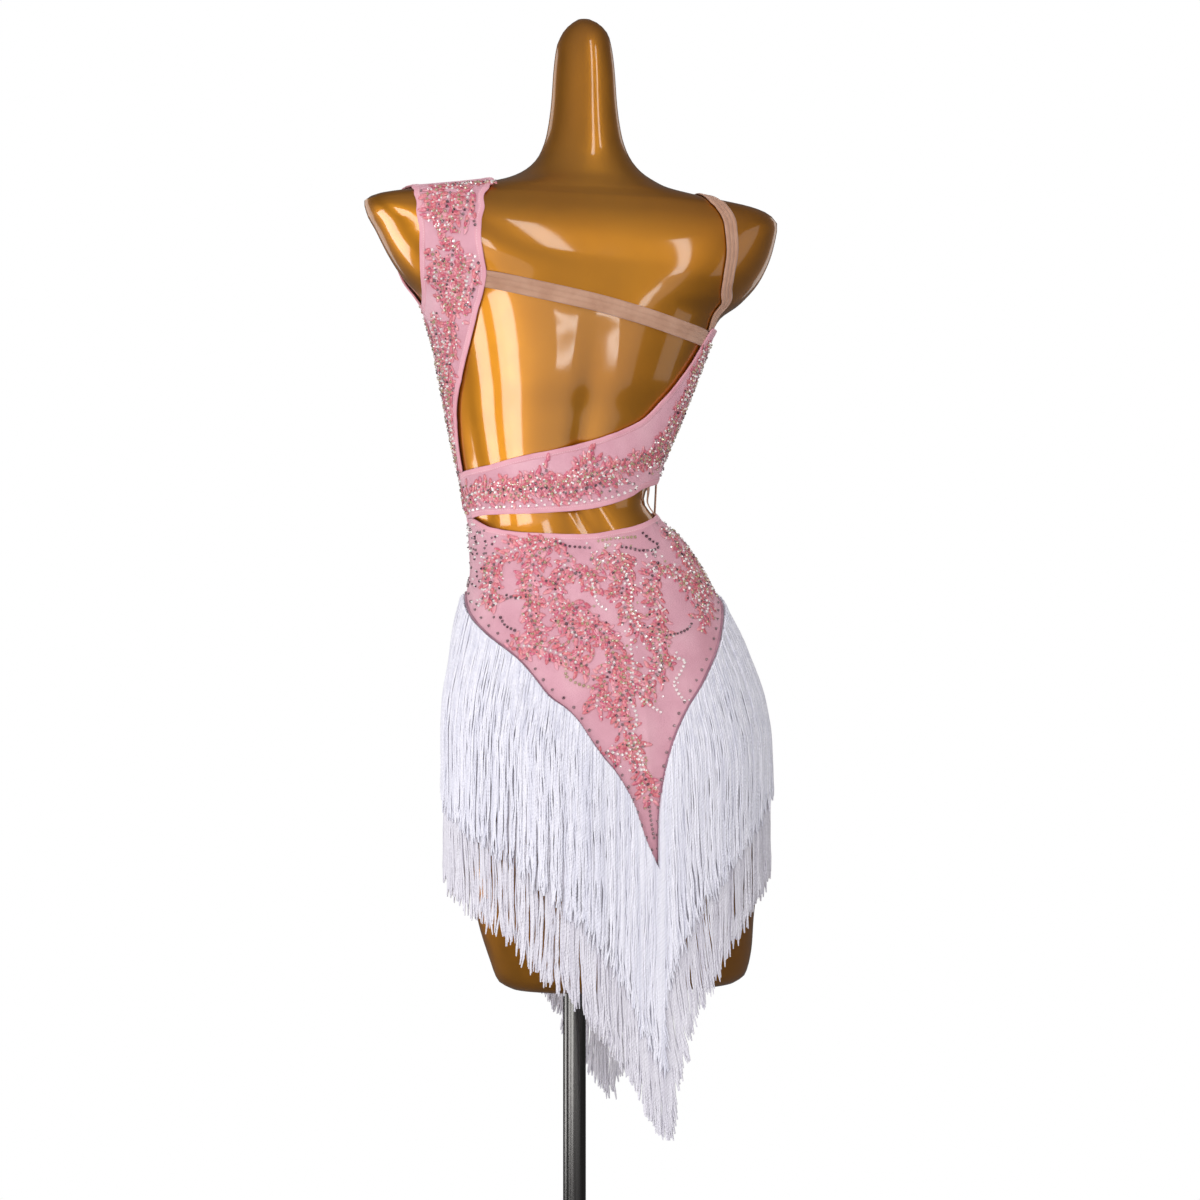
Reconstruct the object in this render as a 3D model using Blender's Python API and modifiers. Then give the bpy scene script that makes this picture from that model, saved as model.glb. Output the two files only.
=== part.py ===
"""Salsa dance dress on a limbless dress form with its stand.

The dress is a stretch bodice with one wide shoulder strap, an open back crossed by elastics, a wrap band,
a cut-out at the waist, a skirt yoke that ends in a V at the back and at the front, and a two-tier fringe.

Frame: metres, +Z up, origin on the floor under the pole. The wearer faces -Y, and +X is the wearer's left.
A place on the body is an angle and a height. The angle is in degrees seen from above: 0 at the wearer's
left, 90 at the back, 180 at the wearer's right, 270 at the front. The height is in millimetres.
"""

import bisect
import math

import bmesh
import bpy
from mathutils import Vector

MM = 0.001

# Cloth
EASE = 2.3 * MM  # between the form and the cloth
CLOTH = 1.2 * MM  # thickness of the stretch cloth with its lining net
SEAM_GAP = 0.3 * MM  # between two pieces that are sewn together
SEAM_TURN = 0.1  # degrees kept free on each side of an upright seam
RIDGE_TURN = 0.3  # degrees kept free on each side of the shoulder seam
SHARED_EDGE = 0.01 * MM  # grids of one piece join where their points are this near
RIBBON_STEP = 0.01  # share of a strip's length over which its direction is taken
ELASTIC = 1.2 * MM  # thickness of an elastic
ELASTIC_EASE = 0.9 * MM  # between the form and an elastic that is stretched over it
WAIST_ELASTIC_EASE = 1.8 * MM
BACK_ELASTIC_WIDTH = 17 * MM
SHOULDER_ELASTIC_WIDTH = 16 * MM
SIDE_ELASTIC_WIDTH = 4 * MM
SIDE_ELASTIC_CLEAR = 0.8 * MM  # from its ends to the slanting edges of the cloth

# Fringe
LONG_FRINGE = 285 * MM
SHORT_FRINGE = 203 * MM
FRINGE_DEPTH = 3.2 * MM  # how thick one tier of strands lies
TIER_GAP = 1.6 * MM  # between the two tiers
FRINGE_STEP = 8 * MM  # step with which a strand is followed down the body
FRINGE_STAND_OFF = 1.8 * MM  # how much further than the cloth the strands keep from the body
FRINGE_TOP = 985 * MM  # the highest point of the seam that carries the strands

# Stand
POLE_RADIUS = 12 * MM
POLE_FIT = 0.3 * MM
SOCKET_DEPTH = 60 * MM
HUB_RADIUS = 26 * MM
HUB_HEIGHT = 32 * MM
HUB_SLOPE = 5 * MM  # width and height of the sloping edge at its top
BASE_RADIUS = 165 * MM
BASE_THICKNESS = 7 * MM
BASE_EDGE = 1.5 * MM  # radius of its rounded edges

# The dress form, one row for each section, in millimetres: height, middle to the wearer's left and to
# the back, half width, half depth, squareness of the section, and rise towards the wearer's left.
FORM_SECTIONS = (
    # height, across, back, half_width, half_depth, square, tilt
    (573, -57, -9, 122, 67, 0.00, 0.000),
    (580, -56, -9, 134, 76, 0.00, 0.000),
    (602, -54, -7, 142, 83, 0.00, 0.000),
    (644, -48, -3, 150, 89, 0.00, 0.000),
    (707, -44, 3, 158, 96, 0.00, 0.000),
    (770, -39, 8, 165, 100, 0.00, 0.000),
    (833, -34, 8, 168, 101, 0.00, 0.000),
    (875, -32, 5, 164, 100, 0.00, 0.000),
    (917, -29, 1, 153, 97, 0.00, 0.000),
    (959, -24, -4, 141, 90, 0.00, 0.000),
    (1001, -19, -10, 125, 82, 0.02, 0.000),
    (1043, -5, -13, 111, 74, 0.03, 0.000),
    (1064, 7, -14, 100, 72, 0.04, 0.000),
    (1085, 17, -14, 95, 71, 0.04, 0.000),
    (1106, 15, -14, 100, 72, 0.04, 0.000),
    (1127, 12, -14, 108, 75, 0.04, 0.000),
    (1169, 7, -13, 122, 82, 0.04, 0.000),
    (1211, 3, -13, 134, 91, 0.05, 0.003),
    (1253, 0, -12, 147, 96, 0.05, 0.020),
    (1284, 0, -11, 160, 99, 0.05, 0.045),
    (1306, -2, -10, 183, 98, 0.06, 0.055),
    (1327, -3, -7, 200, 95, 0.08, 0.055),
    (1349, -2, -4, 212, 88, 0.12, 0.055),
    (1370, 0, -2, 221, 79, 0.17, 0.042),
    (1385, 0, -1, 224, 71, 0.20, 0.024),
    (1393, 0, -1, 216, 66, 0.20, 0.015),
    (1398, 0, -1, 200, 63, 0.18, 0.009),
    (1402, 0, -1, 175, 60, 0.15, 0.006),
    (1408, -1, -1, 135, 56, 0.11, 0.004),
    (1415, -5, -2, 98, 53, 0.06, 0.003),
    (1422, -9, -3, 78, 50, 0.03, 0.000),
    (1432, -11, -4, 61, 47, 0.00, 0.000),
    (1447, -12, -5, 48, 43, 0.00, 0.000),
    (1468, -12, -5, 40, 39, 0.00, 0.000),
    (1500, -12, -5, 35, 35, 0.00, 0.000),
    (1540, -12, -5, 32, 32, 0.00, 0.000),
    (1562, -12, -5, 29, 29, 0.00, 0.000),
    (1576, -13, -5, 24, 24, 0.00, 0.000),
    (1586, -13, -5, 15, 15, 0.00, 0.000),
    (1591, -12, -5, 6, 6, 0.00, 0.000),
    (1592, -12, -5, 0, 0, 0.00, 0.000),
)
SWELLS = (
    # angle, height, angle_spread, height_spread, rise, on_form, on_cloth
    (244, 1294, 24, 47, 21, True, True),
    (296, 1294, 24, 47, 21, True, True),
    (58, 1345, 17, 48, 5, True, True),
    (122, 1345, 17, 48, 5, True, True),
    (64, 800, 22, 60, 9, True, True),
    (116, 800, 22, 60, 9, True, True),
    (90, 1150, 7, 130, -6, True, False),
    (90, 900, 6, 70, -4, True, False),
    (168, 1104, 20, 22, 5, False, True),
    (92, 698, 34, 42, 12, False, True),
)
FORM_SEGMENTS = 48
FORM_ROW = 30  # widest step between two rings of the form, in millimetres along its side

# Where the pieces of the dress meet and end: angle and height of the points of each line.
LEFT_SEAM = -4
RIGHT_SEAM = 180
BACK_TIP = 93.5
FRONT_TIP = 262
BACK_YOKE_TOP = (
    ((-4, 1065.6), (7, 1065.6)),
    ((7, 1065.6), (15, 1062), (29, 1054.5), (53, 1049), (82, 1047), (110, 1053), (142, 1063.5), (160, 1068),
     (180, 1070)),
)  # fmt: skip
FRONT_YOKE_TOP = (
    ((180, 1070), (205, 1071.6)),
    ((205, 1071.6), (235, 1065.6), (270, 1061.6), (305, 1062.6), (356, 1066)),
)
BAND_BOTTOM = (
    ((-4, 1066), (7, 1066)),
    ((7, 1066), (15, 1067.5), (28, 1069), (57, 1069.5), (84, 1071.5), (112, 1078.5), (133, 1089.5),
     (142, 1097), (160, 1103), (180, 1106)),
)  # fmt: skip
BAND_TOP = (
    (-4, 1111), (4, 1113), (35, 1119), (61, 1129), (79, 1136), (95, 1145), (109, 1156), (120, 1168),
    (128, 1187), (137, 1210), (144, 1234), (149, 1257), (154, 1272), (166, 1272), (180, 1268),
)  # fmt: skip
BACK_V = (
    ((-4, 985), (4, 974.5), (28, 944), (44, 921), (48.7, 911), (53.5, 898), (59, 881.5), (65, 869.5), (69, 857.5),
     (72.6, 841), (76.4, 823.5), (81, 805), (86, 775), (89, 741), (93.5, 704)),
    ((93.5, 704), (94.5, 740), (95.5, 766), (98.5, 806), (103, 840), (110, 870), (118, 892), (130, 921),
     (150, 959), (165, 975), (180, 985)),
)  # fmt: skip
FRONT_V = (
    ((180, 985), (200, 955), (220, 915), (240, 855), (253, 785), (262, 722)),
    ((262, 722), (271, 785), (285, 855), (305, 915), (330, 960), (356, 986)),
)
STRAP_BOTTOM = ((LEFT_SEAM + SEAM_TURN, 1111.3), (4, 1113.3))
STRAP_TOP = ((RIDGE_TURN, 1401), (RIDGE_TURN, 1408), (RIDGE_TURN, 1414.2))
STRAP_INNER = (
    (4, 1113.3), (9, 1150), (15, 1182), (25, 1214), (33, 1242), (40, 1267), (47.5, 1290), (53, 1307),
    (54.8, 1322), (56.4, 1337), (59.5, 1356), (63, 1376), (63.7, 1394), (60, 1400), (55, 1404), (45, 1408.3),
    (30, 1411.6), (15, 1413.5), (RIDGE_TURN, 1414.2),
)  # fmt: skip
STRAP_OUTER = (
    (LEFT_SEAM + SEAM_TURN, 1111.3), (LEFT_SEAM + SEAM_TURN, 1200), (LEFT_SEAM + SEAM_TURN, 1278), (6, 1287),
    (14, 1295.5), (20, 1304), (26, 1317.5), (31, 1332.5), (35, 1346), (39, 1365), (41.5, 1380), (40.5, 1389),
    (35, 1395), (30, 1398), (18, 1400.3), (RIDGE_TURN, 1401),
)  # fmt: skip
FRONT_WAIST = (
    ((180, 1106), (192, 1088), (205, 1072)),
    ((205, 1072), (235, 1066), (270, 1062), (305, 1063), (356, 1066.4)),
)
NECK_CORNER = 292  # where the neckline turns up along the wide strap
FRONT_NECKLINE = ((180, 1268), (195, 1290), (215, 1318), (240, 1338), (265, 1346), (292, 1362))
FRONT_STRAP_FOOT = ((292, 1362), (310, 1345), (335, 1305), (356 - SEAM_TURN, 1278))
FRONT_STRAP_TOP = ((360 - RIDGE_TURN, 1414.2), (360 - RIDGE_TURN, 1408), (360 - RIDGE_TURN, 1401))
FRONT_STRAP_INNER = (
    (292, 1362), (294, 1379), (296.3, 1394), (300, 1400), (305, 1404), (315, 1408.3), (330, 1411.6),
    (345, 1413.5), (360 - RIDGE_TURN, 1414.2),
)  # fmt: skip
FRONT_STRAP_OUTER = (
    (356 - SEAM_TURN, 1278), (350, 1287), (340, 1304), (329, 1332), (321, 1365), (318.5, 1380), (319.5, 1389),
    (325, 1395), (330, 1398), (342, 1400.3), (360 - RIDGE_TURN, 1401),
)  # fmt: skip
BACK_ELASTIC_LINE = ((52.6, 1300.5), (70, 1292), (90, 1283), (111, 1272), (130, 1263), (147.3, 1258))
SHOULDER_ELASTIC_LINE = (
    (154, 1278), (146, 1300), (137.5, 1313), (132, 1332), (130, 1347.5), (128, 1362.5), (126.3, 1376.4),
    (124.8, 1388), (126.4, 1396.6), (130, 1399.5), (138, 1402.7), (150, 1405.7), (165, 1407.3), (180, 1407.8),
    (195, 1407.3), (210, 1405.7), (222, 1402.7), (230, 1399.5), (233.6, 1396.6), (235.2, 1388), (233, 1372),
    (229, 1350), (222, 1332),
)  # fmt: skip
SIDE_ELASTIC_ANGLE = 172
WAIST_ELASTIC_LINE = ((152, 1095), (158, 1087), (160, 1079), (158, 1070))

# Faces of the pieces, across and up
BACK_COLUMNS = 32  # of the yoke and of the fringe that hangs from it, so that their edges match
FRONT_COLUMNS = 28
TIP_CROWDING = 1.4  # how much closer the columns of a V-shaped piece are at its tip
BACK_YOKE_ROWS = 12
FRONT_YOKE_ROWS = 9
FRINGE_ROWS = 6
BAND_COLUMNS, BAND_ROWS = 24, 5
STRAP_COLUMNS, STRAP_ROWS = 6, 38
BODICE_COLUMNS, BODICE_ROWS = 20, 14
FRONT_STRAP_COLUMNS, FRONT_STRAP_ROWS = 8, 18
BACK_ELASTIC_FACES = 20
SHOULDER_ELASTIC_FACES = 40
WAIST_ELASTIC_FACES = 8
SIDE_ELASTIC_FACES = 2
POLE_SIDES = 32
HUB_SIDES = 48
BASE_SIDES = 64
EDGE_ANGLE = math.radians(40)  # edges sharper than this stay sharp


# --- curves


def smooth(knots, values, x):
    """The value at x on a smooth curve through the values at the knots, which never swings past them."""
    last = len(knots) - 1
    x = min(max(x, knots[0]), knots[last])
    i = min(bisect.bisect_right(knots, x) - 1, last - 1)

    def rise(k):
        return (values[k + 1] - values[k]) / (knots[k + 1] - knots[k])

    def slope(k):
        if k in (0, last):
            return rise(min(k, last - 1))
        if rise(k - 1) * rise(k) <= 0:
            return 0
        before, after = knots[k] - knots[k - 1], knots[k + 1] - knots[k]
        return 3 * (before + after) / ((2 * after + before) / rise(k - 1) + (after + 2 * before) / rise(k))

    width = knots[i + 1] - knots[i]
    t = (x - knots[i]) / width
    ends = values[i] * (1 + 2 * t) * (1 - t) ** 2 + values[i + 1] * (3 - 2 * t) * t * t
    return ends + width * t * (1 - t) * (slope(i) * (1 - t) - slope(i + 1) * t)


def line_of(*runs):
    """Height of a line at an angle. The line is smooth along each run and may turn sharply between runs."""

    def height(angle):
        run = next((run for run in runs if angle <= run[-1][0]), runs[-1])
        return smooth([point[0] for point in run], [point[1] for point in run], angle)

    return height


# --- the body's surface: an angle and the way up along its side give a point

COLUMNS = list(zip(*FORM_SECTIONS))
FORM_BOTTOM = Vector((COLUMNS[1][0], COLUMNS[2][0], COLUMNS[0][0])) * MM
SIDE_WAY = [0.0]
for lower, upper in zip(FORM_SECTIONS, FORM_SECTIONS[1:]):
    SIDE_WAY.append(SIDE_WAY[-1] + math.hypot(upper[0] - lower[0], upper[3] - lower[3]))
WAY_STEPS = 1500
WAY_SAMPLES = [SIDE_WAY[-1] * i / WAY_STEPS for i in range(WAY_STEPS + 1)]
HEIGHT_SAMPLES = [smooth(SIDE_WAY, COLUMNS[0], way) for way in WAY_SAMPLES]


def way_up(height):
    """Way along the side of the body at which its section has this height."""
    i = min(max(bisect.bisect_left(HEIGHT_SAMPLES, height), 1), len(HEIGHT_SAMPLES) - 1)
    low, high = HEIGHT_SAMPLES[i - 1], HEIGHT_SAMPLES[i]
    share = min(max((height - low) / (high - low), 0), 1)
    return WAY_SAMPLES[i - 1] + share * (WAY_SAMPLES[i] - WAY_SAMPLES[i - 1])


def swell(angle, height, cloth):
    """How far the body rises over its plain section, in millimetres."""
    total = 0
    for at, level, angle_spread, height_spread, rise, on_form, on_cloth in SWELLS:
        if on_cloth if cloth else on_form:
            turn = (angle - at + 180) % 360 - 180
            total += rise * math.exp(-((turn / angle_spread) ** 2) - ((height - level) / height_spread) ** 2)
    return total


def body_point(angle, way, cloth=True):
    """Point of the body; cloth=True gives the surface that taut cloth spans."""
    section = (smooth(SIDE_WAY, column, way) for column in COLUMNS)
    height, across, back, half_width, half_depth, square, tilt = section
    east, north = math.cos(math.radians(angle)), math.sin(math.radians(angle))
    rise = swell(angle, height, cloth)
    x = across + (half_width * (1 + square * north * north) + rise) * east
    y = back + (half_depth * (1 + square * east * east) + rise) * north
    return Vector((x, y, height + tilt * x)) * MM


def laid(angle, way, lift):
    """Point at a distance off the surface that the cloth spans, and the way out there."""
    around = body_point(angle + 0.5, way) - body_point(angle - 0.5, way)
    up = body_point(angle, way + 1) - body_point(angle, way - 1)
    out = around.cross(up).normalized()
    return body_point(angle, way) + out * lift, out


# --- objects


def collection_for(name):
    made = bpy.data.collections.new(name)
    bpy.context.scene.collection.children.link(made)
    return made


def material(name, colour, roughness, metallic=0.0):
    made = bpy.data.materials.new(name)
    made.use_nodes = True
    shader = made.node_tree.nodes["Principled BSDF"]
    shader.inputs["Base Color"].default_value = (*colour, 1)
    shader.inputs["Roughness"].default_value = roughness
    shader.inputs["Metallic"].default_value = metallic
    return made


def add_object(name, shape, finish, collection):
    """Object made from a bmesh, smooth but for its sharp edges."""
    mesh = bpy.data.meshes.new(name)
    shape.to_mesh(mesh)
    shape.free()
    mesh.materials.append(finish)
    mesh.shade_smooth()
    mesh.set_sharp_from_angle(angle=EDGE_ANGLE)
    made = bpy.data.objects.new(name, mesh)
    collection.objects.link(made)
    return made


def sheet(name, grids, thickness, finish, collection):
    """A wall of cloth with its thickness outwards.

    Each grid has columns, rows and place(across, up), with both from 0 to 1. Grids that share an edge join.
    """
    shape = bmesh.new()
    for columns, rows, place in grids:
        grid = bmesh.ops.create_grid(shape, x_segments=columns, y_segments=rows, size=0.5)
        for vertex in grid["verts"]:
            vertex.co = place(vertex.co.x + 0.5, vertex.co.y + 0.5)
    bmesh.ops.remove_doubles(shape, verts=shape.verts, dist=SHARED_EDGE)
    made = add_object(name, shape, finish, collection)
    wall = made.modifiers.new("wall", "SOLIDIFY")
    wall.thickness = thickness
    wall.offset = 1


def wall_between(name, columns, rows, inner, outer, finish, collection):
    """A closed wall between two surfaces, each given by a place(across, up)."""
    shape = bmesh.new()
    for place in (inner, outer):
        grid = bmesh.ops.create_grid(shape, x_segments=columns, y_segments=rows, size=0.5)
        for vertex in grid["verts"]:
            vertex.co = place(vertex.co.x + 0.5, vertex.co.y + 0.5)
    bmesh.ops.bridge_loops(shape, edges=[edge for edge in shape.edges if edge.is_boundary])
    bmesh.ops.recalc_face_normals(shape, faces=shape.faces)
    add_object(name, shape, finish, collection)


# --- ways of laying a piece on the body


def evenly(start, end):
    """Angle at a share of the way between two angles."""
    return lambda share: start + (end - start) * share


def across_tip(start, tip, end):
    """Like evenly, but by way of the tip of a V, with closer columns towards the tip."""

    def angle_of(share):
        side, far = (start, 1 - 2 * share) if share < 0.5 else (end, 2 * share - 1)
        return tip + (side - tip) * far**TIP_CROWDING

    return angle_of


def between_lines(angle_of, lower, upper, gap):
    """Places a piece between two lines, with a gap left free at both."""

    def place(across, up):
        angle = angle_of(across)
        low, high = way_up(lower(angle) + gap / MM), way_up(upper(angle) - gap / MM)
        return laid(angle, low + (high - low) * up, EASE)[0]

    return place


def along(line):
    """Function from 0..1 to the angle and way of a point at that share of a line's length."""
    stops = [Vector((angle, way_up(height))) for angle, height in line]
    lengths = [0.0]
    for one, two in zip(stops, stops[1:]):
        step = (body_point(*two) - body_point(*one)).length
        lengths.append(lengths[-1] + step)

    def at(share):
        far = share * lengths[-1]
        return Vector([smooth(lengths, [stop[k] for stop in stops], far) for k in (0, 1)])

    return at


def along_angles(angle_of, line):
    """Like along, but at the angles that another piece has its columns at."""

    def at(share):
        angle = angle_of(share)
        return Vector((angle, way_up(line(angle))))

    return at


def within_edges(bottom, first, top, last):
    """Places a piece inside four edges. The first edge is where across is 0, and the last where it is 1."""

    def place(across, up):
        upright = first(up) * (1 - across) + last(up) * across
        level = bottom(across) * (1 - up) + top(across) * up
        corners = (bottom(0) * (1 - across) + bottom(1) * across) * (1 - up)
        corners += (top(0) * (1 - across) + top(1) * across) * up
        return laid(*(upright + level - corners), EASE)[0]

    return place


def ribbon(line, width, ease):
    """Places a strip of a width along a line."""
    at = along(line)

    def place(along_share, width_share):
        middle, out = laid(*at(along_share), ease)
        before = laid(*at(max(along_share - RIBBON_STEP, 0)), ease)[0]
        after = laid(*at(min(along_share + RIBBON_STEP, 1)), ease)[0]
        return middle + out.cross((after - before).normalized()) * width * (width_share - 0.5)

    return place


def hanging(angle_of, line, length, clear):
    """Places a curtain of strands that fall straight from a line.

    A strand is pushed out where the body is wider, and starts no further in than the body above it reaches.
    """

    def strand(angle):
        seam = laid(angle, way_up(line(angle) - SEAM_GAP / MM), clear)[0]
        for step in range(math.ceil((FRINGE_TOP - seam.z) / FRINGE_STEP)):
            higher = pushed_out(seam.x, seam.y, FRINGE_TOP - step * FRINGE_STEP, clear)
            seam.xy = higher.xy
        points = [seam]
        steps = math.ceil(length / FRINGE_STEP)
        for step in range(1, steps + 1):
            z = seam.z - length * step / steps
            points.append(pushed_out(points[-1].x, points[-1].y, z, clear + FRINGE_STAND_OFF))
        return points

    def place(across, up):
        points = strand(angle_of(across))
        far = (1 - up) * (len(points) - 1)
        i = min(int(far), len(points) - 2)
        return points[i].lerp(points[i + 1], far - i)

    return place


def pushed_out(x, y, z, clear):
    """The point, moved out of the body's section at its height if it lies nearer than clear."""
    if z < FORM_BOTTOM.z:
        return Vector((x, y, z))
    way = way_up(z / MM)
    across, back, half_width, half_depth = (smooth(SIDE_WAY, COLUMNS[k], way) * MM for k in (1, 2, 3, 4))
    east, north = x - across, y - back
    rise = swell(math.degrees(math.atan2(north / half_depth, east / half_width)), z / MM, True) * MM
    reach = math.hypot(east / (half_width + rise + clear), north / (half_depth + rise + clear))
    share = max(1 / reach, 1)
    return Vector((across + east * share, back + north * share, z))


# --- the pieces


def form_rings():
    """Ways along the side at which the form has its rings, from the rim at the bottom to the top."""
    ways = [0.0]
    for low, high in zip(SIDE_WAY, SIDE_WAY[1:]):
        steps = math.ceil((high - low) / FORM_ROW)
        ways += [low + (high - low) * (step + 1) / steps for step in range(steps)]
    return ways


def dress_form(finish, collection, cutters):
    """The form: a sphere whose rings are moved to the sections, with a socket for the pole."""
    ways = form_rings()
    shape = bmesh.new()
    bmesh.ops.create_uvsphere(shape, u_segments=FORM_SEGMENTS, v_segments=len(ways), radius=1)
    for vertex in shape.verts:
        ring = round(len(ways) * (1 - math.acos(min(max(vertex.co.z, -1), 1)) / math.pi))
        angle = math.degrees(math.atan2(vertex.co.y, vertex.co.x))
        vertex.co = body_point(angle, ways[ring - 1], cloth=False) if ring else FORM_BOTTOM
    made = add_object("dress_form", shape, finish, collection)
    bpy.ops.mesh.primitive_cylinder_add(
        vertices=POLE_SIDES,
        radius=POLE_RADIUS + POLE_FIT,
        depth=2 * SOCKET_DEPTH,
        location=(0, 0, FORM_BOTTOM.z),
    )
    cutter = bpy.context.object
    cutter.name = "socket_cutter"
    cutter.hide_render = True
    cutter.display_type = "WIRE"
    bpy.context.collection.objects.unlink(cutter)
    cutters.objects.link(cutter)
    socket = made.modifiers.new("socket", "BOOLEAN")
    socket.object = cutter
    socket.solver = "EXACT"


def turned(name, radius, low, high, sides, edge, finish, collection):
    """An upright cylinder from one height to another, with rounded edges."""
    shape = bmesh.new()
    bmesh.ops.create_cone(
        shape, cap_ends=True, segments=sides, radius1=radius, radius2=radius, depth=high - low
    )
    for vertex in shape.verts:
        vertex.co.z += (low + high) / 2
    made = add_object(name, shape, finish, collection)
    if edge:
        round_edge = made.modifiers.new("edge", "BEVEL")
        round_edge.width = edge
        round_edge.segments = 2
        round_edge.limit_method = "ANGLE"
        round_edge.angle_limit = EDGE_ANGLE


def stand(steel, base_paint, collection):
    turned("stand_base", BASE_RADIUS, 0, BASE_THICKNESS, BASE_SIDES, BASE_EDGE, base_paint, collection)
    floor = BASE_THICKNESS + SEAM_GAP
    bore = POLE_RADIUS + POLE_FIT
    shape = bmesh.new()
    profile = (
        (HUB_RADIUS, 0),
        (HUB_RADIUS, HUB_HEIGHT - HUB_SLOPE),
        (HUB_RADIUS - HUB_SLOPE, HUB_HEIGHT),
        (bore, HUB_HEIGHT),
        (bore, 0),
    )
    ring = [shape.verts.new((radius, 0, floor + height)) for radius, height in profile]
    edges = [shape.edges.new(pair) for pair in zip(ring, ring[1:] + ring[:1])]
    bmesh.ops.spin(
        shape, geom=ring + edges, cent=(0, 0, 0), axis=(0, 0, 1), dvec=(0, 0, 0), angle=2 * math.pi,
        steps=HUB_SIDES, use_merge=True, use_duplicate=False,
    )  # fmt: skip
    bmesh.ops.recalc_face_normals(shape, faces=shape.faces)
    add_object("stand_hub", shape, steel, collection)
    top = FORM_BOTTOM.z + SOCKET_DEPTH - SEAM_GAP
    turned("stand_pole", POLE_RADIUS, floor, top, POLE_SIDES, 0, steel, collection)


def dress(cloth, collection):
    half = SEAM_GAP / 2
    left, right = LEFT_SEAM + SEAM_TURN, RIGHT_SEAM - SEAM_TURN
    front_left, front_right = LEFT_SEAM + 360 - SEAM_TURN, RIGHT_SEAM + SEAM_TURN
    back_columns = across_tip(left, BACK_TIP, right)
    yoke_back = between_lines(back_columns, line_of(*BACK_V), line_of(*BACK_YOKE_TOP), half)
    sheet("yoke_back", [(BACK_COLUMNS, BACK_YOKE_ROWS, yoke_back)], CLOTH, cloth, collection)
    front_columns = across_tip(front_right, FRONT_TIP, front_left)
    yoke_front = between_lines(front_columns, line_of(*FRONT_V), line_of(*FRONT_YOKE_TOP), half)
    sheet("yoke_front", [(FRONT_COLUMNS, FRONT_YOKE_ROWS, yoke_front)], CLOTH, cloth, collection)
    band = between_lines(evenly(left, right), line_of(*BAND_BOTTOM), line_of(BAND_TOP), half)
    sheet("back_band", [(BAND_COLUMNS, BAND_ROWS, band)], CLOTH, cloth, collection)
    strap = within_edges(along(STRAP_BOTTOM), along(STRAP_OUTER), along(STRAP_TOP), along(STRAP_INNER))
    sheet("left_back_strap", [(STRAP_COLUMNS, STRAP_ROWS, strap)], CLOTH, cloth, collection)
    chest = line_of(FRONT_NECKLINE, FRONT_STRAP_FOOT)
    body = between_lines(evenly(front_right, NECK_CORNER), line_of(*FRONT_WAIST), chest, 0)
    side = evenly(NECK_CORNER, front_left)
    under_strap = between_lines(side, line_of(*FRONT_WAIST), chest, 0)
    front_strap = within_edges(
        along_angles(side, chest), along(FRONT_STRAP_INNER), along(FRONT_STRAP_TOP), along(FRONT_STRAP_OUTER)
    )
    grids = [
        (BODICE_COLUMNS, BODICE_ROWS, body),
        (FRONT_STRAP_COLUMNS, BODICE_ROWS, under_strap),
        (FRONT_STRAP_COLUMNS, FRONT_STRAP_ROWS, front_strap),
    ]
    sheet("bodice_front", grids, CLOTH, cloth, collection)


def elastics(elastic, collection):
    back = ribbon(BACK_ELASTIC_LINE, BACK_ELASTIC_WIDTH, ELASTIC_EASE)
    sheet("back_elastic", [(BACK_ELASTIC_FACES, 1, back)], ELASTIC, elastic, collection)
    shoulder = ribbon(SHOULDER_ELASTIC_LINE, SHOULDER_ELASTIC_WIDTH, ELASTIC_EASE)
    sheet("shoulder_elastic", [(SHOULDER_ELASTIC_FACES, 1, shoulder)], ELASTIC, elastic, collection)
    waist = ribbon(WAIST_ELASTIC_LINE, SIDE_ELASTIC_WIDTH, WAIST_ELASTIC_EASE)
    sheet("waist_elastic", [(WAIST_ELASTIC_FACES, 1, waist)], ELASTIC, elastic, collection)
    band_edge = laid(SIDE_ELASTIC_ANGLE, way_up(line_of(*BAND_BOTTOM)(SIDE_ELASTIC_ANGLE)), EASE)[0]
    yoke_edge = laid(SIDE_ELASTIC_ANGLE, way_up(line_of(*BACK_YOKE_TOP)(SIDE_ELASTIC_ANGLE)), EASE)[0]
    reach = (band_edge - yoke_edge).normalized() * SIDE_ELASTIC_CLEAR
    backwards = Vector((0, -SIDE_ELASTIC_WIDTH, 0))

    def taut(along_share, width_share):
        return (yoke_edge + reach).lerp(band_edge - reach, along_share) + backwards * (width_share - 0.5)

    sheet("side_elastic", [(SIDE_ELASTIC_FACES, 1, taut)], ELASTIC, elastic, collection)


def fringe(strands, collection):
    left, right = LEFT_SEAM + SEAM_TURN, RIGHT_SEAM - SEAM_TURN
    front_left, front_right = LEFT_SEAM + 360 - SEAM_TURN, RIGHT_SEAM + SEAM_TURN
    runs = (
        ("back", BACK_COLUMNS, across_tip(left, BACK_TIP, right), BACK_V),
        ("front", FRONT_COLUMNS, across_tip(front_right, FRONT_TIP, front_left), FRONT_V),
    )
    tiers = (
        ("fringe_long_", LONG_FRINGE, EASE),
        ("fringe_short_", SHORT_FRINGE, EASE + FRINGE_DEPTH + TIER_GAP),
    )
    for tier, length, clear in tiers:
        for run, columns, angle_of, v in runs:
            inner = hanging(angle_of, line_of(*v), length, clear)
            outer = hanging(angle_of, line_of(*v), length, clear + FRINGE_DEPTH)
            wall_between(tier + run, columns, FRINGE_ROWS, inner, outer, strands, collection)


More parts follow.
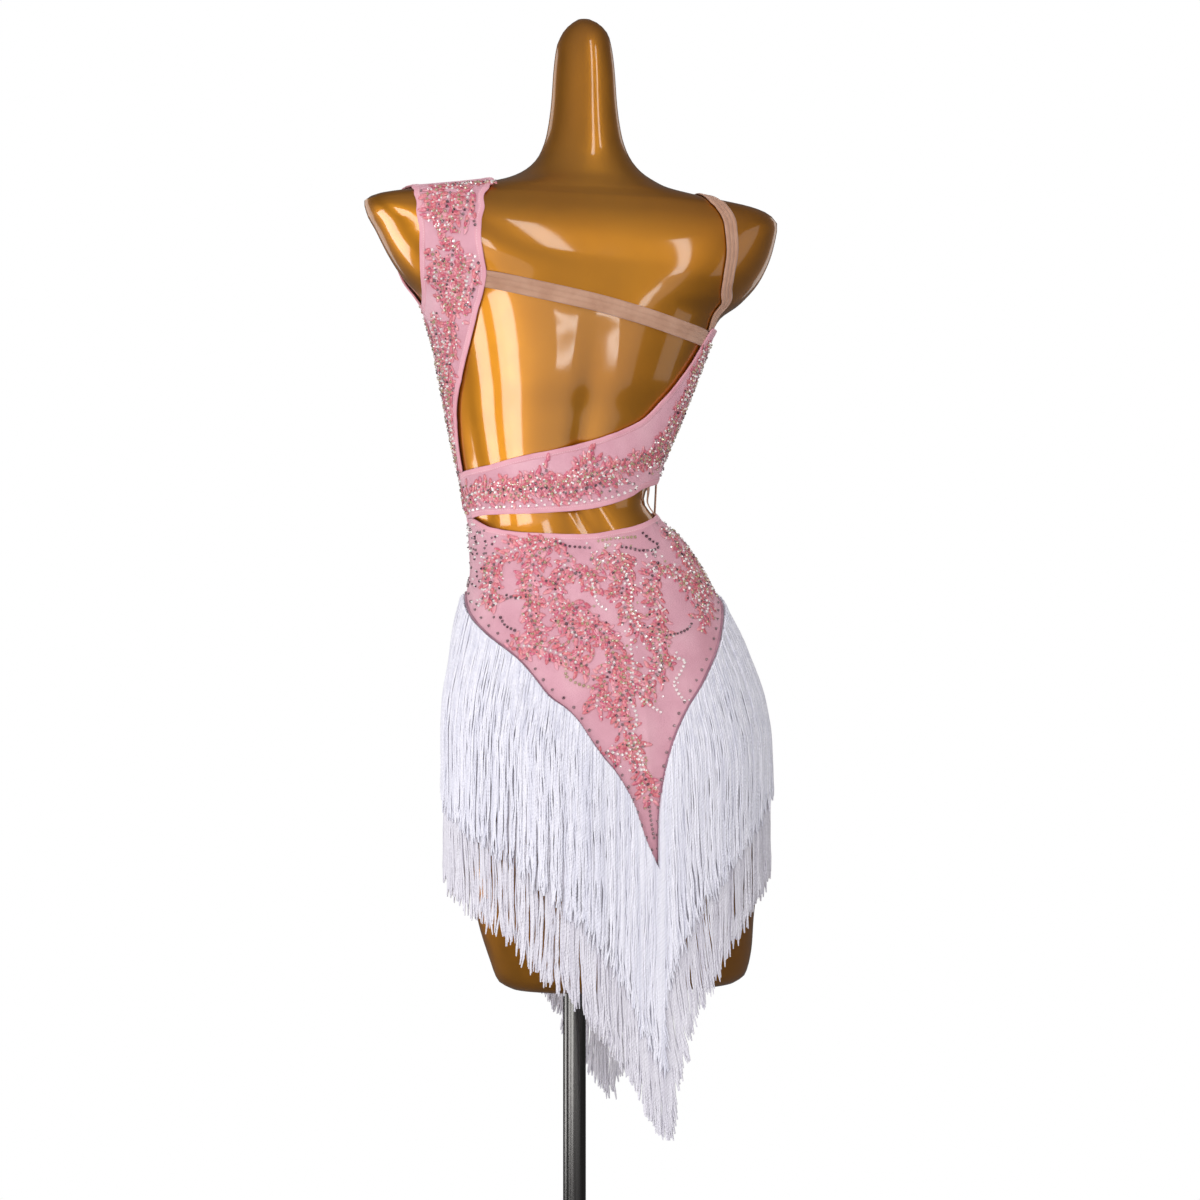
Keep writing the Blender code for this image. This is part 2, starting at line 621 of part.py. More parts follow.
def main():
    for old in list(bpy.data.objects):
        bpy.data.objects.remove(old)
    parts = collection_for("salsa_dance_dress")
    cutters = collection_for("cutters")
    gold = material("gold_form", (0.44, 0.22, 0.06), 0.18, metallic=0.9)
    steel = material("polished_steel", (0.30, 0.30, 0.30), 0.25, metallic=1.0)
    base_paint = material("base_metal", (0.30, 0.30, 0.30), 0.35, metallic=1.0)
    cloth = material("pink_stretch", (0.74, 0.36, 0.42), 0.6)
    nude = material("nude_elastic", (0.53, 0.31, 0.19), 0.7)
    white = material("white_fringe", (0.75, 0.74, 0.80), 0.6)
    dress_form(gold, parts, cutters)
    stand(steel, base_paint, parts)
    dress(cloth, parts)
    elastics(nude, parts)
    fringe(white, parts)


main()
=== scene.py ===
"""Salsa dance dress on its dress form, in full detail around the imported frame.

A place on the body is an angle and a height. The angle is in degrees seen from above: 0 at the wearer's
left, 90 at the back, 180 at the wearer's right, 270 at the front. The height is in millimetres.
The wearer faces -Y. The script makes, in this order: the form and its stand, the cloth with its bound
edges, the elastics, the leaf sequins and stones, the fringe, then the studio.
"""

import bisect
import math
import random

import bmesh
import bpy
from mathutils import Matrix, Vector, noise


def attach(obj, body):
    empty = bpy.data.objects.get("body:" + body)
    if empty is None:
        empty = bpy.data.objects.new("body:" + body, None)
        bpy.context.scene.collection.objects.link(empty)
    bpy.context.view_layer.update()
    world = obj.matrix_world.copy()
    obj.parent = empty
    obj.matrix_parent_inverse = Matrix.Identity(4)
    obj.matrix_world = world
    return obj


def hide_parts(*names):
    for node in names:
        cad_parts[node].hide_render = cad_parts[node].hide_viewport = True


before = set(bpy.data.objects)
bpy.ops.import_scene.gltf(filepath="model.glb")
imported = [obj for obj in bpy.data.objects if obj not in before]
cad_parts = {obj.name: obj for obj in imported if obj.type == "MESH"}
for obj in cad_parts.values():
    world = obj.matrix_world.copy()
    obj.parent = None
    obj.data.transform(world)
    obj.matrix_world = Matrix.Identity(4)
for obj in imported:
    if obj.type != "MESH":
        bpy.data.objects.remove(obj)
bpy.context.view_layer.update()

MM = 0.001
BODY = "root"
JOINED = 0.02 * MM  # points of one piece that are this near become one

# Cloth
EASE = 2.3 * MM  # between the form and the cloth
CLOTH = 1.1 * MM
ELASTIC = 1.0 * MM
ELASTIC_EASE = 0.9 * MM  # between the form and an elastic that is stretched over it
WAIST_ELASTIC_EASE = 1.8 * MM
CREASE = 0.45 * MM  # how far the soft creases of the taut cloth stand up
CREASES = (18, 18, 55)  # how close the creases lie across, in depth and up
FINE_CREASES = (60, 60, 30)
TIP_CROWDING = 1.4  # how much closer the columns of a V-shaped piece are at its tip
BACK_ELASTIC_WIDTH = 17 * MM
SHOULDER_ELASTIC_WIDTH = 15 * MM
SIDE_ELASTIC_WIDTH = 4 * MM
TUCKED = 3 * MM  # how far the ends of the side elastic reach over the cloth
ELASTIC_RIBS = 3
RIB_RISE = 0.7 * MM

# Tapes along the edges: how wide they are, how far they stand over the cloth, and faces round them
BINDING = (6.5 * MM, 0.4 * MM, 12)
FRINGE_SEAM = (1.8 * MM, 1.9 * MM, 8)
TAPE_STEP = 3 * MM  # length of a face along a tape
TAPE_OVERHANG = 0.4 * MM  # how far a tape reaches past the edge of the cloth
TAPE_BEAD = 0.16  # share of a tape's width that its thick outer edge takes

# Fringe
LONG_FRINGE = 285 * MM
SHORT_FRINGE = 203 * MM
FRINGE_STAND_OFF = 1.8 * MM  # how much further than the cloth the strands keep from the body
FRINGE_TOP = 985 * MM
STRAND_RADIUS = 1.15 * MM
LONG_SPACING = 1.12 * MM  # along the seam between the strands of the long tier
SHORT_SPACING = 1.24 * MM
STRAND_STEP = 10 * MM
STRAND_SPREAD = 1.8 * MM  # how deep the strands of one tier lie behind each other at the seam
SEWN_UNDER = 1.0  # millimetres below the seam's line that a strand starts
DRAW_POWER = 2.5  # how late a strand leaves the upright on its way to its bunch
CRIMP = 2.2 * MM  # how far a strand's own waves reach to each side
CRIMP_LENGTH = 26 * MM
CURL = 3.5 * MM  # how far a strand's end turns aside
CURLED = 0.1  # share of a strand that curls
TAIL_END = 430 * MM  # height where the longest strands are cut off level
TAIL_SLANT = 5  # how many millimetres shorter a strand is cut for each one that it lies further out
LOCK_SWAY = 5 * MM  # how far the locks of many strands swing together

# Between what limits chance sets each strand. Lengths are in millimetres.
STRANDS_IN_BUNCH = (3, 7)
BUNCH_DRIFT = (-1.2, 1.2)
BUNCH_LENGTH = (-5, 4)
STRAND_LENGTH = (-9, 6)
STRAND_SWAY = (0.8, 2.6)
STRAND_PLACE = (0.2, 0.8)  # share of its spacing
STRAND_THICKNESS = (0.85, 1.1)  # share of STRAND_RADIUS

# Trims
TRIM_LIFT = 3.8 * MM  # from the body to the back of a leaf or stone
LEAF_THICKNESS = 0.6 * MM
LEAF_LENGTH = (8 * MM, 11.5 * MM)
LEAF_WIDTH = (0.46, 0.62)  # share of its length
LEAF_CUP = 0.12  # how deep a leaf is cupped, as a share of its width, and how far its tip may lift
LEAF_SPACING = 5.4 * MM
LEAF_FAN = (25, 75)  # degrees between a leaf and its stem
LEAF_FOOT = (0.8, 2.6)  # millimetres from the stem's middle
OUTER_LEAVES = 0.7  # share of the leaves on a stem that have another beyond them
OUTER_REACH = (7, 12)  # millimetres from the stem to the leaf beyond
OUTER_TURN = (-0.9, 0.9)  # radians that it turns out of line
TIP_STONES = 0.8  # share of the leaves on a stem that have a stone at their tip
SIDE_STONES = 0.6  # share of them that have one beside them
FLOWERS = 0.4  # share of the places on a stem that have a flower nearby
FLOWER_REACH = (6, 12)  # millimetres from the stem
PETALS = 5
PETAL_LENGTH = (6.5, 8)  # in millimetres
PETAL_WIDTH = 4.6 * MM
PETAL_FOOT = 1.2 * MM
STONE = (1.6 * MM, 2.0 * MM)
SMALL_STONE = (1.25 * MM, 1.7 * MM)
STONE_SPACING = 4.8 * MM
STONE_SIDES = 6
TINT_SPREAD = (-0.1, 0.1)
EDGE_ROW_RISE = 9  # millimetres from the fringe's seam up to the row of stones along it
EDGE_ROW_SPACING = 14 * MM
YOKE_MARGIN = 3.5 * MM  # from the edges of the cloth to the middles of the trims
BAND_MARGIN = 6 * MM
BODICE_MARGIN = 7 * MM
BATCH = 40  # small things made in one mesh before it is joined to the rest

# Form and stand
FORM_SIDES = 128
RING_STEP = 7  # millimetres up the form's side between its rings
ROUND_SIDES = 96
POLE_RADIUS = 12 * MM
POLE_FIT = 0.3 * MM  # between the pole's top and the end of its socket
POLE_EDGE = 0.4 * MM  # radius of its rounded ends
SOCKET_DEPTH = 60 * MM
HUB_RADIUS = 26 * MM
HUB_HEIGHT = 32 * MM
BASE_RADIUS = 165 * MM
BASE_THICKNESS = 7 * MM
BASE_EDGE = 1.8 * MM
HUB_PROFILE = (
    # share of the hub's radius, share of its height
    (0.55, 0), (1, 0), (1, 0.06), (0.97, 0.1), (0.97, 0.72), (0.9, 0.84), (0.68, 0.9), (0.62, 1), (0.48, 1),
)

# Studio
FLOOR_RADIUS = 1.45
VIEW_TURN = 17  # degrees that the camera stands round from straight behind
CAMERA_DISTANCE = 3.0
CAMERA_ASIDE = 0.0268
CAMERA_HEIGHT = 0.98
LENS = 85.7
SENSOR = 36
LIGHT_AIM = Vector((0, 0, 1.1))
LIGHTS = (
    # name, degrees to the camera's right, degrees above level, distance, size, power, mirrored in gloss
    ("upper_window", 31, 36, 2.6, (0.24, 1.0), 2.8, True),
    ("tall_window", 50, 18, 2.6, (0.2, 1.9), 4.4, True),
    ("left_window", -22, -13, 2.6, (0.85, 0.75), 8.5, True),
    ("left_pane", 0, 3, 2.6, (0.3, 0.5), 1.9, True),
    ("left_wall", -51, -14, 2.6, (0.8, 0.7), 8, True),
    ("back_wall", 17, -12, 2.7, (4.4, 0.9), 5.6, True),
    ("low_window", 24, -8, 2.6, (0.9, 0.06), 0.9, True),
    ("left_side", -100, -20, 2.2, (0.9, 0.6), 7, True),
    ("right_side", 85, 5, 2.2, (0.8, 1.4), 1.8, True),
    ("front_left", -138, 10, 2.3, (0.9, 1.5), 3.4, True),
    ("front_right", 145, 10, 2.3, (0.6, 1.5), 2.0, True),
    ("ceiling", 0, 78, 1.9, (1.3, 1.3), 5, False),
    ("front_fill", 170, 30, 2.3, (1.3, 1.3), 26, False),
)

# What each cut piece is before it is stretched over the form
SHEETS = (
    # node, flat width and length, area, bound edges
    ("yoke_back", (0.32, 0.34), 0.055, ("yoke_top_binding",)),
    ("yoke_front", (0.32, 0.34), 0.058, ("front_waist_binding",)),
    ("back_band", (0.30, 0.17), 0.025, ("band_top_binding", "band_bottom_binding")),
    ("left_back_strap", (0.095, 0.36), 0.019, ("strap_inner_binding", "strap_outer_binding")),
    ("bodice_front", (0.37, 0.38), 0.098, ("neckline_binding", "front_armhole_binding")),
)

# The dress form's sections in millimetres: height, middle to the wearer's left and to the back, half width,
# half depth, squareness, and rise towards the wearer's left.
FORM_SECTIONS = (
    # height, across, back, half_width, half_depth, square, tilt
    (573, -57, -9, 122, 67, 0, 0),
    (580, -56, -9, 134, 76, 0, 0),
    (602, -54, -7, 142, 83, 0, 0),
    (644, -48, -3, 150, 89, 0, 0),
    (707, -44, 3, 158, 96, 0, 0),
    (770, -39, 8, 165, 100, 0, 0),
    (833, -34, 8, 168, 101, 0, 0),
    (875, -32, 5, 164, 100, 0, 0),
    (917, -29, 1, 153, 97, 0, 0),
    (959, -24, -4, 141, 90, 0, 0),
    (1001, -19, -10, 125, 82, 0.02, 0),
    (1043, -5, -13, 111, 74, 0.03, 0),
    (1064, 7, -14, 100, 72, 0.04, 0),
    (1085, 17, -14, 95, 71, 0.04, 0),
    (1106, 15, -14, 100, 72, 0.04, 0),
    (1127, 12, -14, 108, 75, 0.04, 0),
    (1169, 7, -13, 122, 82, 0.04, 0),
    (1211, 3, -13, 134, 91, 0.05, 0.003),
    (1253, 0, -12, 147, 96, 0.05, 0.02),
    (1284, 0, -11, 160, 99, 0.05, 0.045),
    (1306, -2, -10, 183, 98, 0.06, 0.055),
    (1327, -3, -7, 200, 95, 0.08, 0.055),
    (1349, -2, -4, 212, 88, 0.12, 0.055),
    (1370, 0, -2, 221, 79, 0.17, 0.042),
    (1385, 0, -1, 224, 71, 0.2, 0.024),
    (1393, 0, -1, 216, 66, 0.2, 0.015),
    (1398, 0, -1, 200, 63, 0.18, 0.009),
    (1402, 0, -1, 175, 60, 0.15, 0.006),
    (1408, -1, -1, 135, 56, 0.11, 0.004),
    (1415, -5, -2, 98, 53, 0.06, 0.003),
    (1422, -9, -3, 78, 50, 0.03, 0),
    (1432, -11, -4, 61, 47, 0, 0),
    (1447, -12, -5, 48, 43, 0, 0),
    (1468, -12, -5, 40, 39, 0, 0),
    (1500, -12, -5, 35, 35, 0, 0),
    (1540, -12, -5, 32, 32, 0, 0),
    (1562, -12, -5, 29, 29, 0, 0),
    (1576, -13, -5, 24, 24, 0, 0),
    (1586, -13, -5, 15, 15, 0, 0),
    (1591, -12, -5, 6, 6, 0, 0),
    (1592, -12, -5, 0, 0, 0, 0),
)
SWELLS = (
    # angle, height, angle_spread, height_spread, rise, on_form, on_cloth
    (244, 1294, 24, 47, 21, True, True),
    (296, 1294, 24, 47, 21, True, True),
    (58, 1345, 17, 48, 5, True, True),
    (122, 1345, 17, 48, 5, True, True),
    (64, 800, 22, 60, 9, True, True),
    (116, 800, 22, 60, 9, True, True),
    (90, 1150, 7, 130, -6, True, False),
    (90, 900, 6, 70, -4, True, False),
    (168, 1104, 20, 22, 5, False, True),
    (92, 698, 34, 42, 12, False, True),
)

# Where the pieces of the dress meet and end: angle and height of the points of each line.
LEFT_SEAM = -4
FAR_LEFT = LEFT_SEAM + 360  # the same seam, reached round the front
RIGHT_SEAM = 180
BACK_TIP = 93.5
FRONT_TIP = 262
BACK_YOKE_TOP = (
    ((-4, 1065.6), (7, 1065.6)),
    ((7, 1065.6), (15, 1062), (29, 1054.5), (53, 1049), (82, 1047), (110, 1053), (142, 1063.5),
     (160, 1068), (180, 1070)),
)
FRONT_YOKE_TOP = (
    ((180, 1070), (205, 1071.6)),
    ((205, 1071.6), (235, 1065.6), (270, 1061.6), (305, 1062.6), (356, 1066)),
)
BAND_BOTTOM = (
    ((-4, 1066), (7, 1066)),
    ((7, 1066), (15, 1067.5), (28, 1069), (57, 1069.5), (84, 1071.5), (112, 1078.5), (133, 1089.5),
     (142, 1097), (160, 1103), (180, 1106)),
)
BAND_TOP = (
    (-4, 1111), (4, 1113), (35, 1119), (61, 1129), (79, 1136), (95, 1145), (109, 1156), (120, 1168),
    (128, 1187), (137, 1210), (144, 1234), (149, 1257), (154, 1272), (166, 1272), (180, 1268),
)
BACK_V = (
    ((-4, 985), (4, 974.5), (28, 944), (44, 921), (48.7, 911), (53.5, 898), (59, 881.5), (65, 869.5),
     (69, 857.5), (72.6, 841), (76.4, 823.5), (81, 805), (86, 775), (89, 741), (93.5, 704)),
    ((93.5, 704), (94.5, 740), (95.5, 766), (98.5, 806), (103, 840), (110, 870), (118, 892), (130, 921),
     (150, 959), (165, 975), (180, 985)),
)
FRONT_V = (
    ((180, 985), (200, 955), (220, 915), (240, 855), (253, 785), (262, 722)),
    ((262, 722), (271, 785), (285, 855), (305, 915), (330, 960), (356, 986)),
)
# How far the ends of the long strands near each point hang to the side: (angle, mm)
BACK_SWING = ((84, 0), (93.5, 13), (98.5, 25), (104, 26), (111, 18), (119, 0))
FRONT_SWING = ((242, 0), (252, -13), (260, -9), (264, 3), (272, 8), (284, 0))
STRAP_BOTTOM = ((LEFT_SEAM, 1111.3), (4, 1113.3))
STRAP_TOP = ((0, 1401), (0, 1408), (0, 1414.2))
STRAP_INNER = (
    (4, 1113.3), (9, 1150), (15, 1182), (25, 1214), (33, 1242), (40, 1267), (47.5, 1290), (53, 1307),
    (54.8, 1322), (56.4, 1337), (59.5, 1356), (63, 1376), (63.7, 1394), (60, 1400), (55, 1404), (45, 1408.3),
    (30, 1411.6), (15, 1413.5), (0, 1414.2),
)
STRAP_OUTER = (
    (LEFT_SEAM, 1111.3), (LEFT_SEAM, 1200), (LEFT_SEAM, 1278), (6, 1287),
    (14, 1295.5), (20, 1304), (26, 1317.5), (31, 1332.5), (35, 1346), (39, 1365), (41.5, 1380), (40.5, 1389),
    (35, 1395), (30, 1398), (18, 1400.3), (0, 1401),
)
FRONT_WAIST = (
    ((180, 1106), (192, 1088), (205, 1072)),
    ((205, 1072), (235, 1066), (270, 1062), (305, 1063), (356, 1066.4)),
)
NECK_CORNER = 292
RIDGE_HEIGHT = 1398  # where the strap turns over the shoulder
ARMHOLE_FOOT = 1275  # above it the strap's outer edge is free
FRONT_STRAP_LEVEL = 1300  # above it trims may lie on the whole width of the front strap
BACK_WAIST_LEVEL, FRONT_WAIST_LEVEL = 1047, 1062  # the lowest point of each yoke's top
FRONT_NECKLINE = ((180, 1268), (195, 1290), (215, 1318), (240, 1338), (265, 1346), (292, 1362))
FRONT_STRAP_FOOT = ((292, 1362), (310, 1345), (335, 1305), (356, 1278))
FRONT_STRAP_TOP = ((360, 1414.2), (360, 1408), (360, 1401))
FRONT_STRAP_INNER = (
    (292, 1362), (294, 1379), (296.3, 1394), (300, 1400), (305, 1404), (315, 1408.3), (330, 1411.6),
    (345, 1413.5), (360, 1414.2),
)
FRONT_STRAP_OUTER = (
    (356, 1278), (350, 1287), (340, 1304), (329, 1332), (321, 1365), (318.5, 1380), (319.5, 1389),
    (325, 1395), (330, 1398), (342, 1400.3), (360, 1401),
)
BACK_ELASTIC_LINE = (
    (48, 1301.5), (55, 1299), (70, 1292), (90, 1283), (111, 1272), (130, 1263), (151, 1257.5),
)
SHOULDER_ELASTIC_LINE = (
    (154, 1270), (146, 1300), (137.5, 1313), (132, 1332), (130, 1347.5), (128, 1362.5), (126.3, 1376.4),
    (124.8, 1388), (126.4, 1396.6), (130, 1399.5), (138, 1402.7), (150, 1405.7), (165, 1407.3), (180, 1407.8),
    (195, 1407.3), (210, 1405.7), (222, 1402.7), (230, 1399.5), (233.6, 1396.6), (235.2, 1388), (233, 1372),
    (229, 1350), (220, 1322),
)
SIDE_ELASTIC_ANGLE = 172
WAIST_ELASTIC_LINE = ((150, 1100), (158, 1087), (160, 1079), (158, 1067))

# Stems that the leaf sequins grow on, as angle and height.
BACK_YOKE_STEMS = (
    ((63, 1042), (42, 1030), (26, 1012), (25, 989), (31, 975)),
    ((70, 1040), (54, 1022), (50, 998), (50, 975), (51, 959), (55, 945)),
    ((73, 1024), (65, 1005), (62, 986), (65, 964), (69, 945), (74, 938)),
    ((70, 975), (77, 957), (82, 942), (84, 920), (81, 903), (77, 885), (76, 872)),
    ((99, 1026), (97, 1005), (92, 982), (93, 961), (97, 945), (100, 938)),
    ((117, 1017), (108, 996), (107, 975), (106, 956), (104, 938), (102, 912), (96, 894), (92, 884)),
    ((146, 1052), (141, 1031), (142, 1010), (142, 989), (140, 972), (129, 958)),
    ((122, 1013), (129, 1001), (132, 986), (136, 974)),
    ((87, 920), (90, 899), (85, 880), (83, 862), (87, 844), (89, 827), (90, 808), (92, 793), (93, 777)),
    ((79, 827), (84, 823), (88, 832)),
    ((45, 933), (54, 931), (61, 926), (68, 917), (73, 913)),
    ((71, 1010), (77, 1001), (82, 998)),
    ((83, 1022), (92, 1017), (98, 1022)),
    ((165, 1050), (160, 1030), (163, 1008), (158, 990)),
)
BAND_STEMS = (
    ((2, 1080), (10, 1088), (40, 1094), (62, 1094), (82, 1097), (96, 1107), (114, 1117), (128, 1125),
     (136, 1133), (144, 1156), (147, 1179), (151, 1201), (152, 1222), (152, 1244)),
    ((20, 1084), (35, 1092), (50, 1088), (66, 1100), (80, 1090), (98, 1096), (112, 1108)),
    ((62, 1098), (72, 1113)),
    ((88, 1108), (97, 1126)),
    ((140, 1120), (152, 1130), (160, 1150), (163, 1180), (166, 1210), (164, 1240)),
)
STRAP_STEMS = (
    ((54, 1387), (51, 1368), (47, 1356), (47, 1347)),
    ((60, 1390), (58, 1374), (54, 1358)),
    ((47, 1390), (45, 1372), (42, 1356)),
    ((47, 1336), (43, 1321), (39, 1308), (31, 1294), (27, 1282), (28, 1270)),
    ((52, 1322), (47, 1308), (40, 1292), (33, 1278)),
    ((36, 1328), (33, 1314), (27, 1300)),
    ((22, 1262), (20, 1245), (14, 1230), (10, 1208), (6, 1187), (3, 1157), (1, 1135)),
    ((12, 1272), (8, 1255), (5, 1235), (1, 1215), (-1, 1195)),
    ((56, 1404), (50, 1396)),
)
BODICE_STEMS = (
    ((345, 1412), (325, 1408), (311, 1396), (308, 1372), (312, 1345), (302, 1322)),
    ((300, 1338), (280, 1330), (262, 1324), (245, 1316), (230, 1303), (214, 1290), (200, 1272)),
    ((288, 1312), (279, 1275), (283, 1235), (275, 1195), (269, 1150), (272, 1100)),
    ((330, 1295), (340, 1255), (335, 1210), (345, 1165), (340, 1120), (347, 1090)),
    ((212, 1278), (222, 1240), (212, 1200), (220, 1160), (210, 1120), (214, 1090)),
    ((196, 1110), (230, 1092), (262, 1086), (292, 1088), (322, 1092), (348, 1096)),
    ((246, 1300), (256, 1262), (248, 1222), (258, 1180), (250, 1140)),
    ((311, 1300), (305, 1260), (316, 1218), (308, 1170), (318, 1130)),
    ((188, 1262), (190, 1230), (186, 1195), (190, 1160), (186, 1128)),
    ((350, 1270), (352, 1230), (350, 1190), (352, 1150), (350, 1115)),
)

# Rows of stones: how pale they are, and the angle and height of their points.
DARK, SMOKE, GOLD, PALE = 0.05, 0.3, 0.6, 0.95
BACK_YOKE_ROWS = (
    (DARK, ((68, 1040), (73, 1035), (77, 1034), (84, 1033))),
    (DARK, ((101, 1034), (106, 1032), (111, 1030), (117, 1030), (123, 1033))),
    (DARK, ((119, 1048), (121, 1041), (124, 1037))),
    (DARK, ((35, 961), (38, 953), (43, 948))),
    (DARK, ((37, 984), (42, 981), (48, 982))),
    (DARK, ((108, 942), (115, 945), (120, 949), (123, 954))),
    (PALE, ((109, 921), (113, 916), (110, 905), (106, 893), (107, 884), (109, 876))),
    (PALE, ((92, 881), (96, 871), (99, 865))),
    (GOLD, ((65, 914), (65, 904), (69, 895), (75, 890))),
    (PALE, ((80, 1000), (80, 987), (81, 975), (84, 969))),
    (SMOKE, ((70, 968), (69, 953), (70, 942))),
    (PALE, ((92, 938), (91, 926), (91, 912), (89, 896))),
    (PALE, ((96, 1012), (97, 990), (95, 970), (97, 952))),
    (PALE, ((88, 880), (90, 860), (88, 842), (90, 826), (91, 808))),
    (SMOKE, ((101, 930), (103, 916), (100, 902))),
    (GOLD, ((90, 1040), (100, 1043), (112, 1044))),
    (SMOKE, ((92, 770), (92.5, 752), (93, 738))),
)


# --- curves


class Curve:
    """A smooth curve through the values at the knots, which never swings past them."""

    def __init__(self, knots, values):
        self.knots, self.values = knots, values
        widths = [b - a for a, b in zip(knots, knots[1:])]
        rises = [(b - a) / width for a, b, width in zip(values, values[1:], widths)]
        self.slopes = [rises[0]]
        for k in range(1, len(rises)):
            before, after = widths[k - 1], widths[k]
            slope = 0
            if rises[k - 1] * rises[k] > 0:
                share = (2 * after + before) / rises[k - 1] + (after + 2 * before) / rises[k]
                slope = 3 * (before + after) / share
            self.slopes.append(slope)
        self.slopes.append(rises[-1])

    def at(self, x):
        x = min(max(x, self.knots[0]), self.knots[-1])
        i = min(bisect.bisect_right(self.knots, x) - 1, len(self.knots) - 2)
        width = self.knots[i + 1] - self.knots[i]
        t = (x - self.knots[i]) / width
        ends = self.values[i] * (1 + 2 * t) * (1 - t) ** 2 + self.values[i + 1] * (3 - 2 * t) * t * t
        return ends + width * t * (1 - t) * (self.slopes[i] * (1 - t) - self.slopes[i + 1] * t)


def line_of(*runs):
    """Height of a line at an angle. It is smooth along each run and may turn sharply between runs."""
    curves = [Curve(*zip(*run)) for run in runs]

    def height(angle):
        return next((curve for curve in curves if angle <= curve.knots[-1]), curves[-1]).at(angle)

    return height


# --- the body's surface: an angle and the way up along its side give a point

COLUMNS = list(zip(*FORM_SECTIONS))
SIDE_WAY = [0.0]
for lower, upper in zip(FORM_SECTIONS, FORM_SECTIONS[1:]):
    SIDE_WAY.append(SIDE_WAY[-1] + math.hypot(upper[0] - lower[0], upper[3] - lower[3]))
SECTION = [Curve(SIDE_WAY, column) for column in COLUMNS]
WAY_STEPS = 1500
WAYS = [SIDE_WAY[-1] * i / WAY_STEPS for i in range(WAY_STEPS + 1)]
HEIGHTS = [SECTION[0].at(way) for way in WAYS]


def way_up(height):
    """Way along the side of the body at which its section has this height."""
    i = min(max(bisect.bisect_left(HEIGHTS, height), 1), WAY_STEPS)
    share = min(max((height - HEIGHTS[i - 1]) / (HEIGHTS[i] - HEIGHTS[i - 1]), 0), 1)
    return WAYS[i - 1] + share * (WAYS[i] - WAYS[i - 1])


def swell(angle, height, cloth):
    """How far the body rises over its plain section, in millimetres."""
    total = 0
    for at, level, angle_spread, height_spread, rise, on_form, on_cloth in SWELLS:
        if on_cloth if cloth else on_form:
            turn = (angle - at + 180) % 360 - 180
            total += rise * math.exp(-((turn / angle_spread) ** 2) - ((height - level) / height_spread) ** 2)
    return total


def body_point(angle, way, cloth=True):
    """Point of the body; cloth=True gives the surface that taut cloth spans."""
    height, across, back, half_width, half_depth, square, tilt = [curve.at(way) for curve in SECTION]
    east, north = math.cos(math.radians(angle)), math.sin(math.radians(angle))
    rise = swell(angle, height, cloth)
    x = across + (half_width * (1 + square * north * north) + rise) * east
    y = back + (half_depth * (1 + square * east * east) + rise) * north
    return Vector((x, y, height + tilt * x)) * MM


class Spot:
    """A place on the taut cloth's surface: its point, the way out, round and up, and how fast it moves."""

    def __init__(self, angle, way, lift=0.0):
        self.angle, self.way = angle, way
        around = body_point(angle + 0.5, way) - body_point(angle - 0.5, way)
        up = (body_point(angle, way + 1) - body_point(angle, way - 1)) / 2
        self.out = around.cross(up).normalized()
        self.around = around.normalized()
        self.up = self.out.cross(self.around)
        self.per_degree, self.per_way = around.length, up.length
        self.point = body_point(angle, way) + self.out * lift

    def moved(self, heading, distance, lift=0.0):
        """The spot at a distance from this one; the heading is in radians from the way round."""
        angle = self.angle + distance * math.cos(heading) / self.per_degree
        return Spot(angle, self.way + distance * math.sin(heading) / self.per_way, lift)

    def heading_to(self, other):
        across = (other.angle - self.angle) * self.per_degree
        return math.atan2((other.way - self.way) * self.per_way, across)


def along(line):
    """Function from 0..1 to the angle and way of a point at that share of a line's length."""
    stops = [(angle, way_up(height)) for angle, height in line]
    lengths = [0.0]
    for one, two in zip(stops, stops[1:]):
        lengths.append(lengths[-1] + (body_point(*two) - body_point(*one)).length)
    curves = [Curve(lengths, [stop[k] for stop in stops]) for k in (0, 1)]

    def at(share):
        return Vector((curves[0].at(share * lengths[-1]), curves[1].at(share * lengths[-1])))

    at.length = lengths[-1]
    return at


# --- objects and materials


def put(name, data):
    """A new object in the scene."""
    made = bpy.data.objects.new(name, data)
    bpy.context.scene.collection.objects.link(made)
    return made


def mesh_from(name, shape, *finishes):
    """A mesh of a bmesh, which is then freed."""
    mesh = bpy.data.meshes.new(name)
    shape.to_mesh(mesh)
    shape.free()
    for finish in finishes:
        mesh.materials.append(finish)
    return mesh


def add_mesh(name, mesh, slot):
    """A piece that rides on the body."""
    made = put(name, mesh)
    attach(made, BODY)
    return made


def add_piece(name, shape, finish, slot, smooth=True):
    """A piece made from a bmesh."""
    mesh = mesh_from(name, shape, finish)
    if smooth:
        mesh.shade_smooth()
    return add_mesh(name, mesh, slot)


class Nodes:
    """Makes the nodes of a tree and links them."""

    def __init__(self, tree):
        self.tree = tree

    def node(self, kind, inputs=None, **settings):
        made = self.tree.nodes.new("ShaderNode" + kind)
        for name, value in settings.items():
            setattr(made, name, value)
        for name, value in (inputs or {}).items():
            self.feed(made.inputs[name], value)
        return made

    def feed(self, socket, value):
        if isinstance(value, bpy.types.NodeSocket):
            self.tree.links.new(value, socket)
        else:
            socket.default_value = value

    def ramp(self, value, *stops, constant=False):
        """A colour for each value. A stop is a position and a colour."""
        made = self.node("ValToRGB", {"Fac": value})
        made.color_ramp.interpolation = "CONSTANT" if constant else "LINEAR"
        elements = made.color_ramp.elements
        while len(elements) < len(stops):
            elements.new(0.5)
        for element, (position, colour) in zip(elements, stops):
            element.position = position
            element.color = (*colour, 1)
        return made.outputs["Color"]


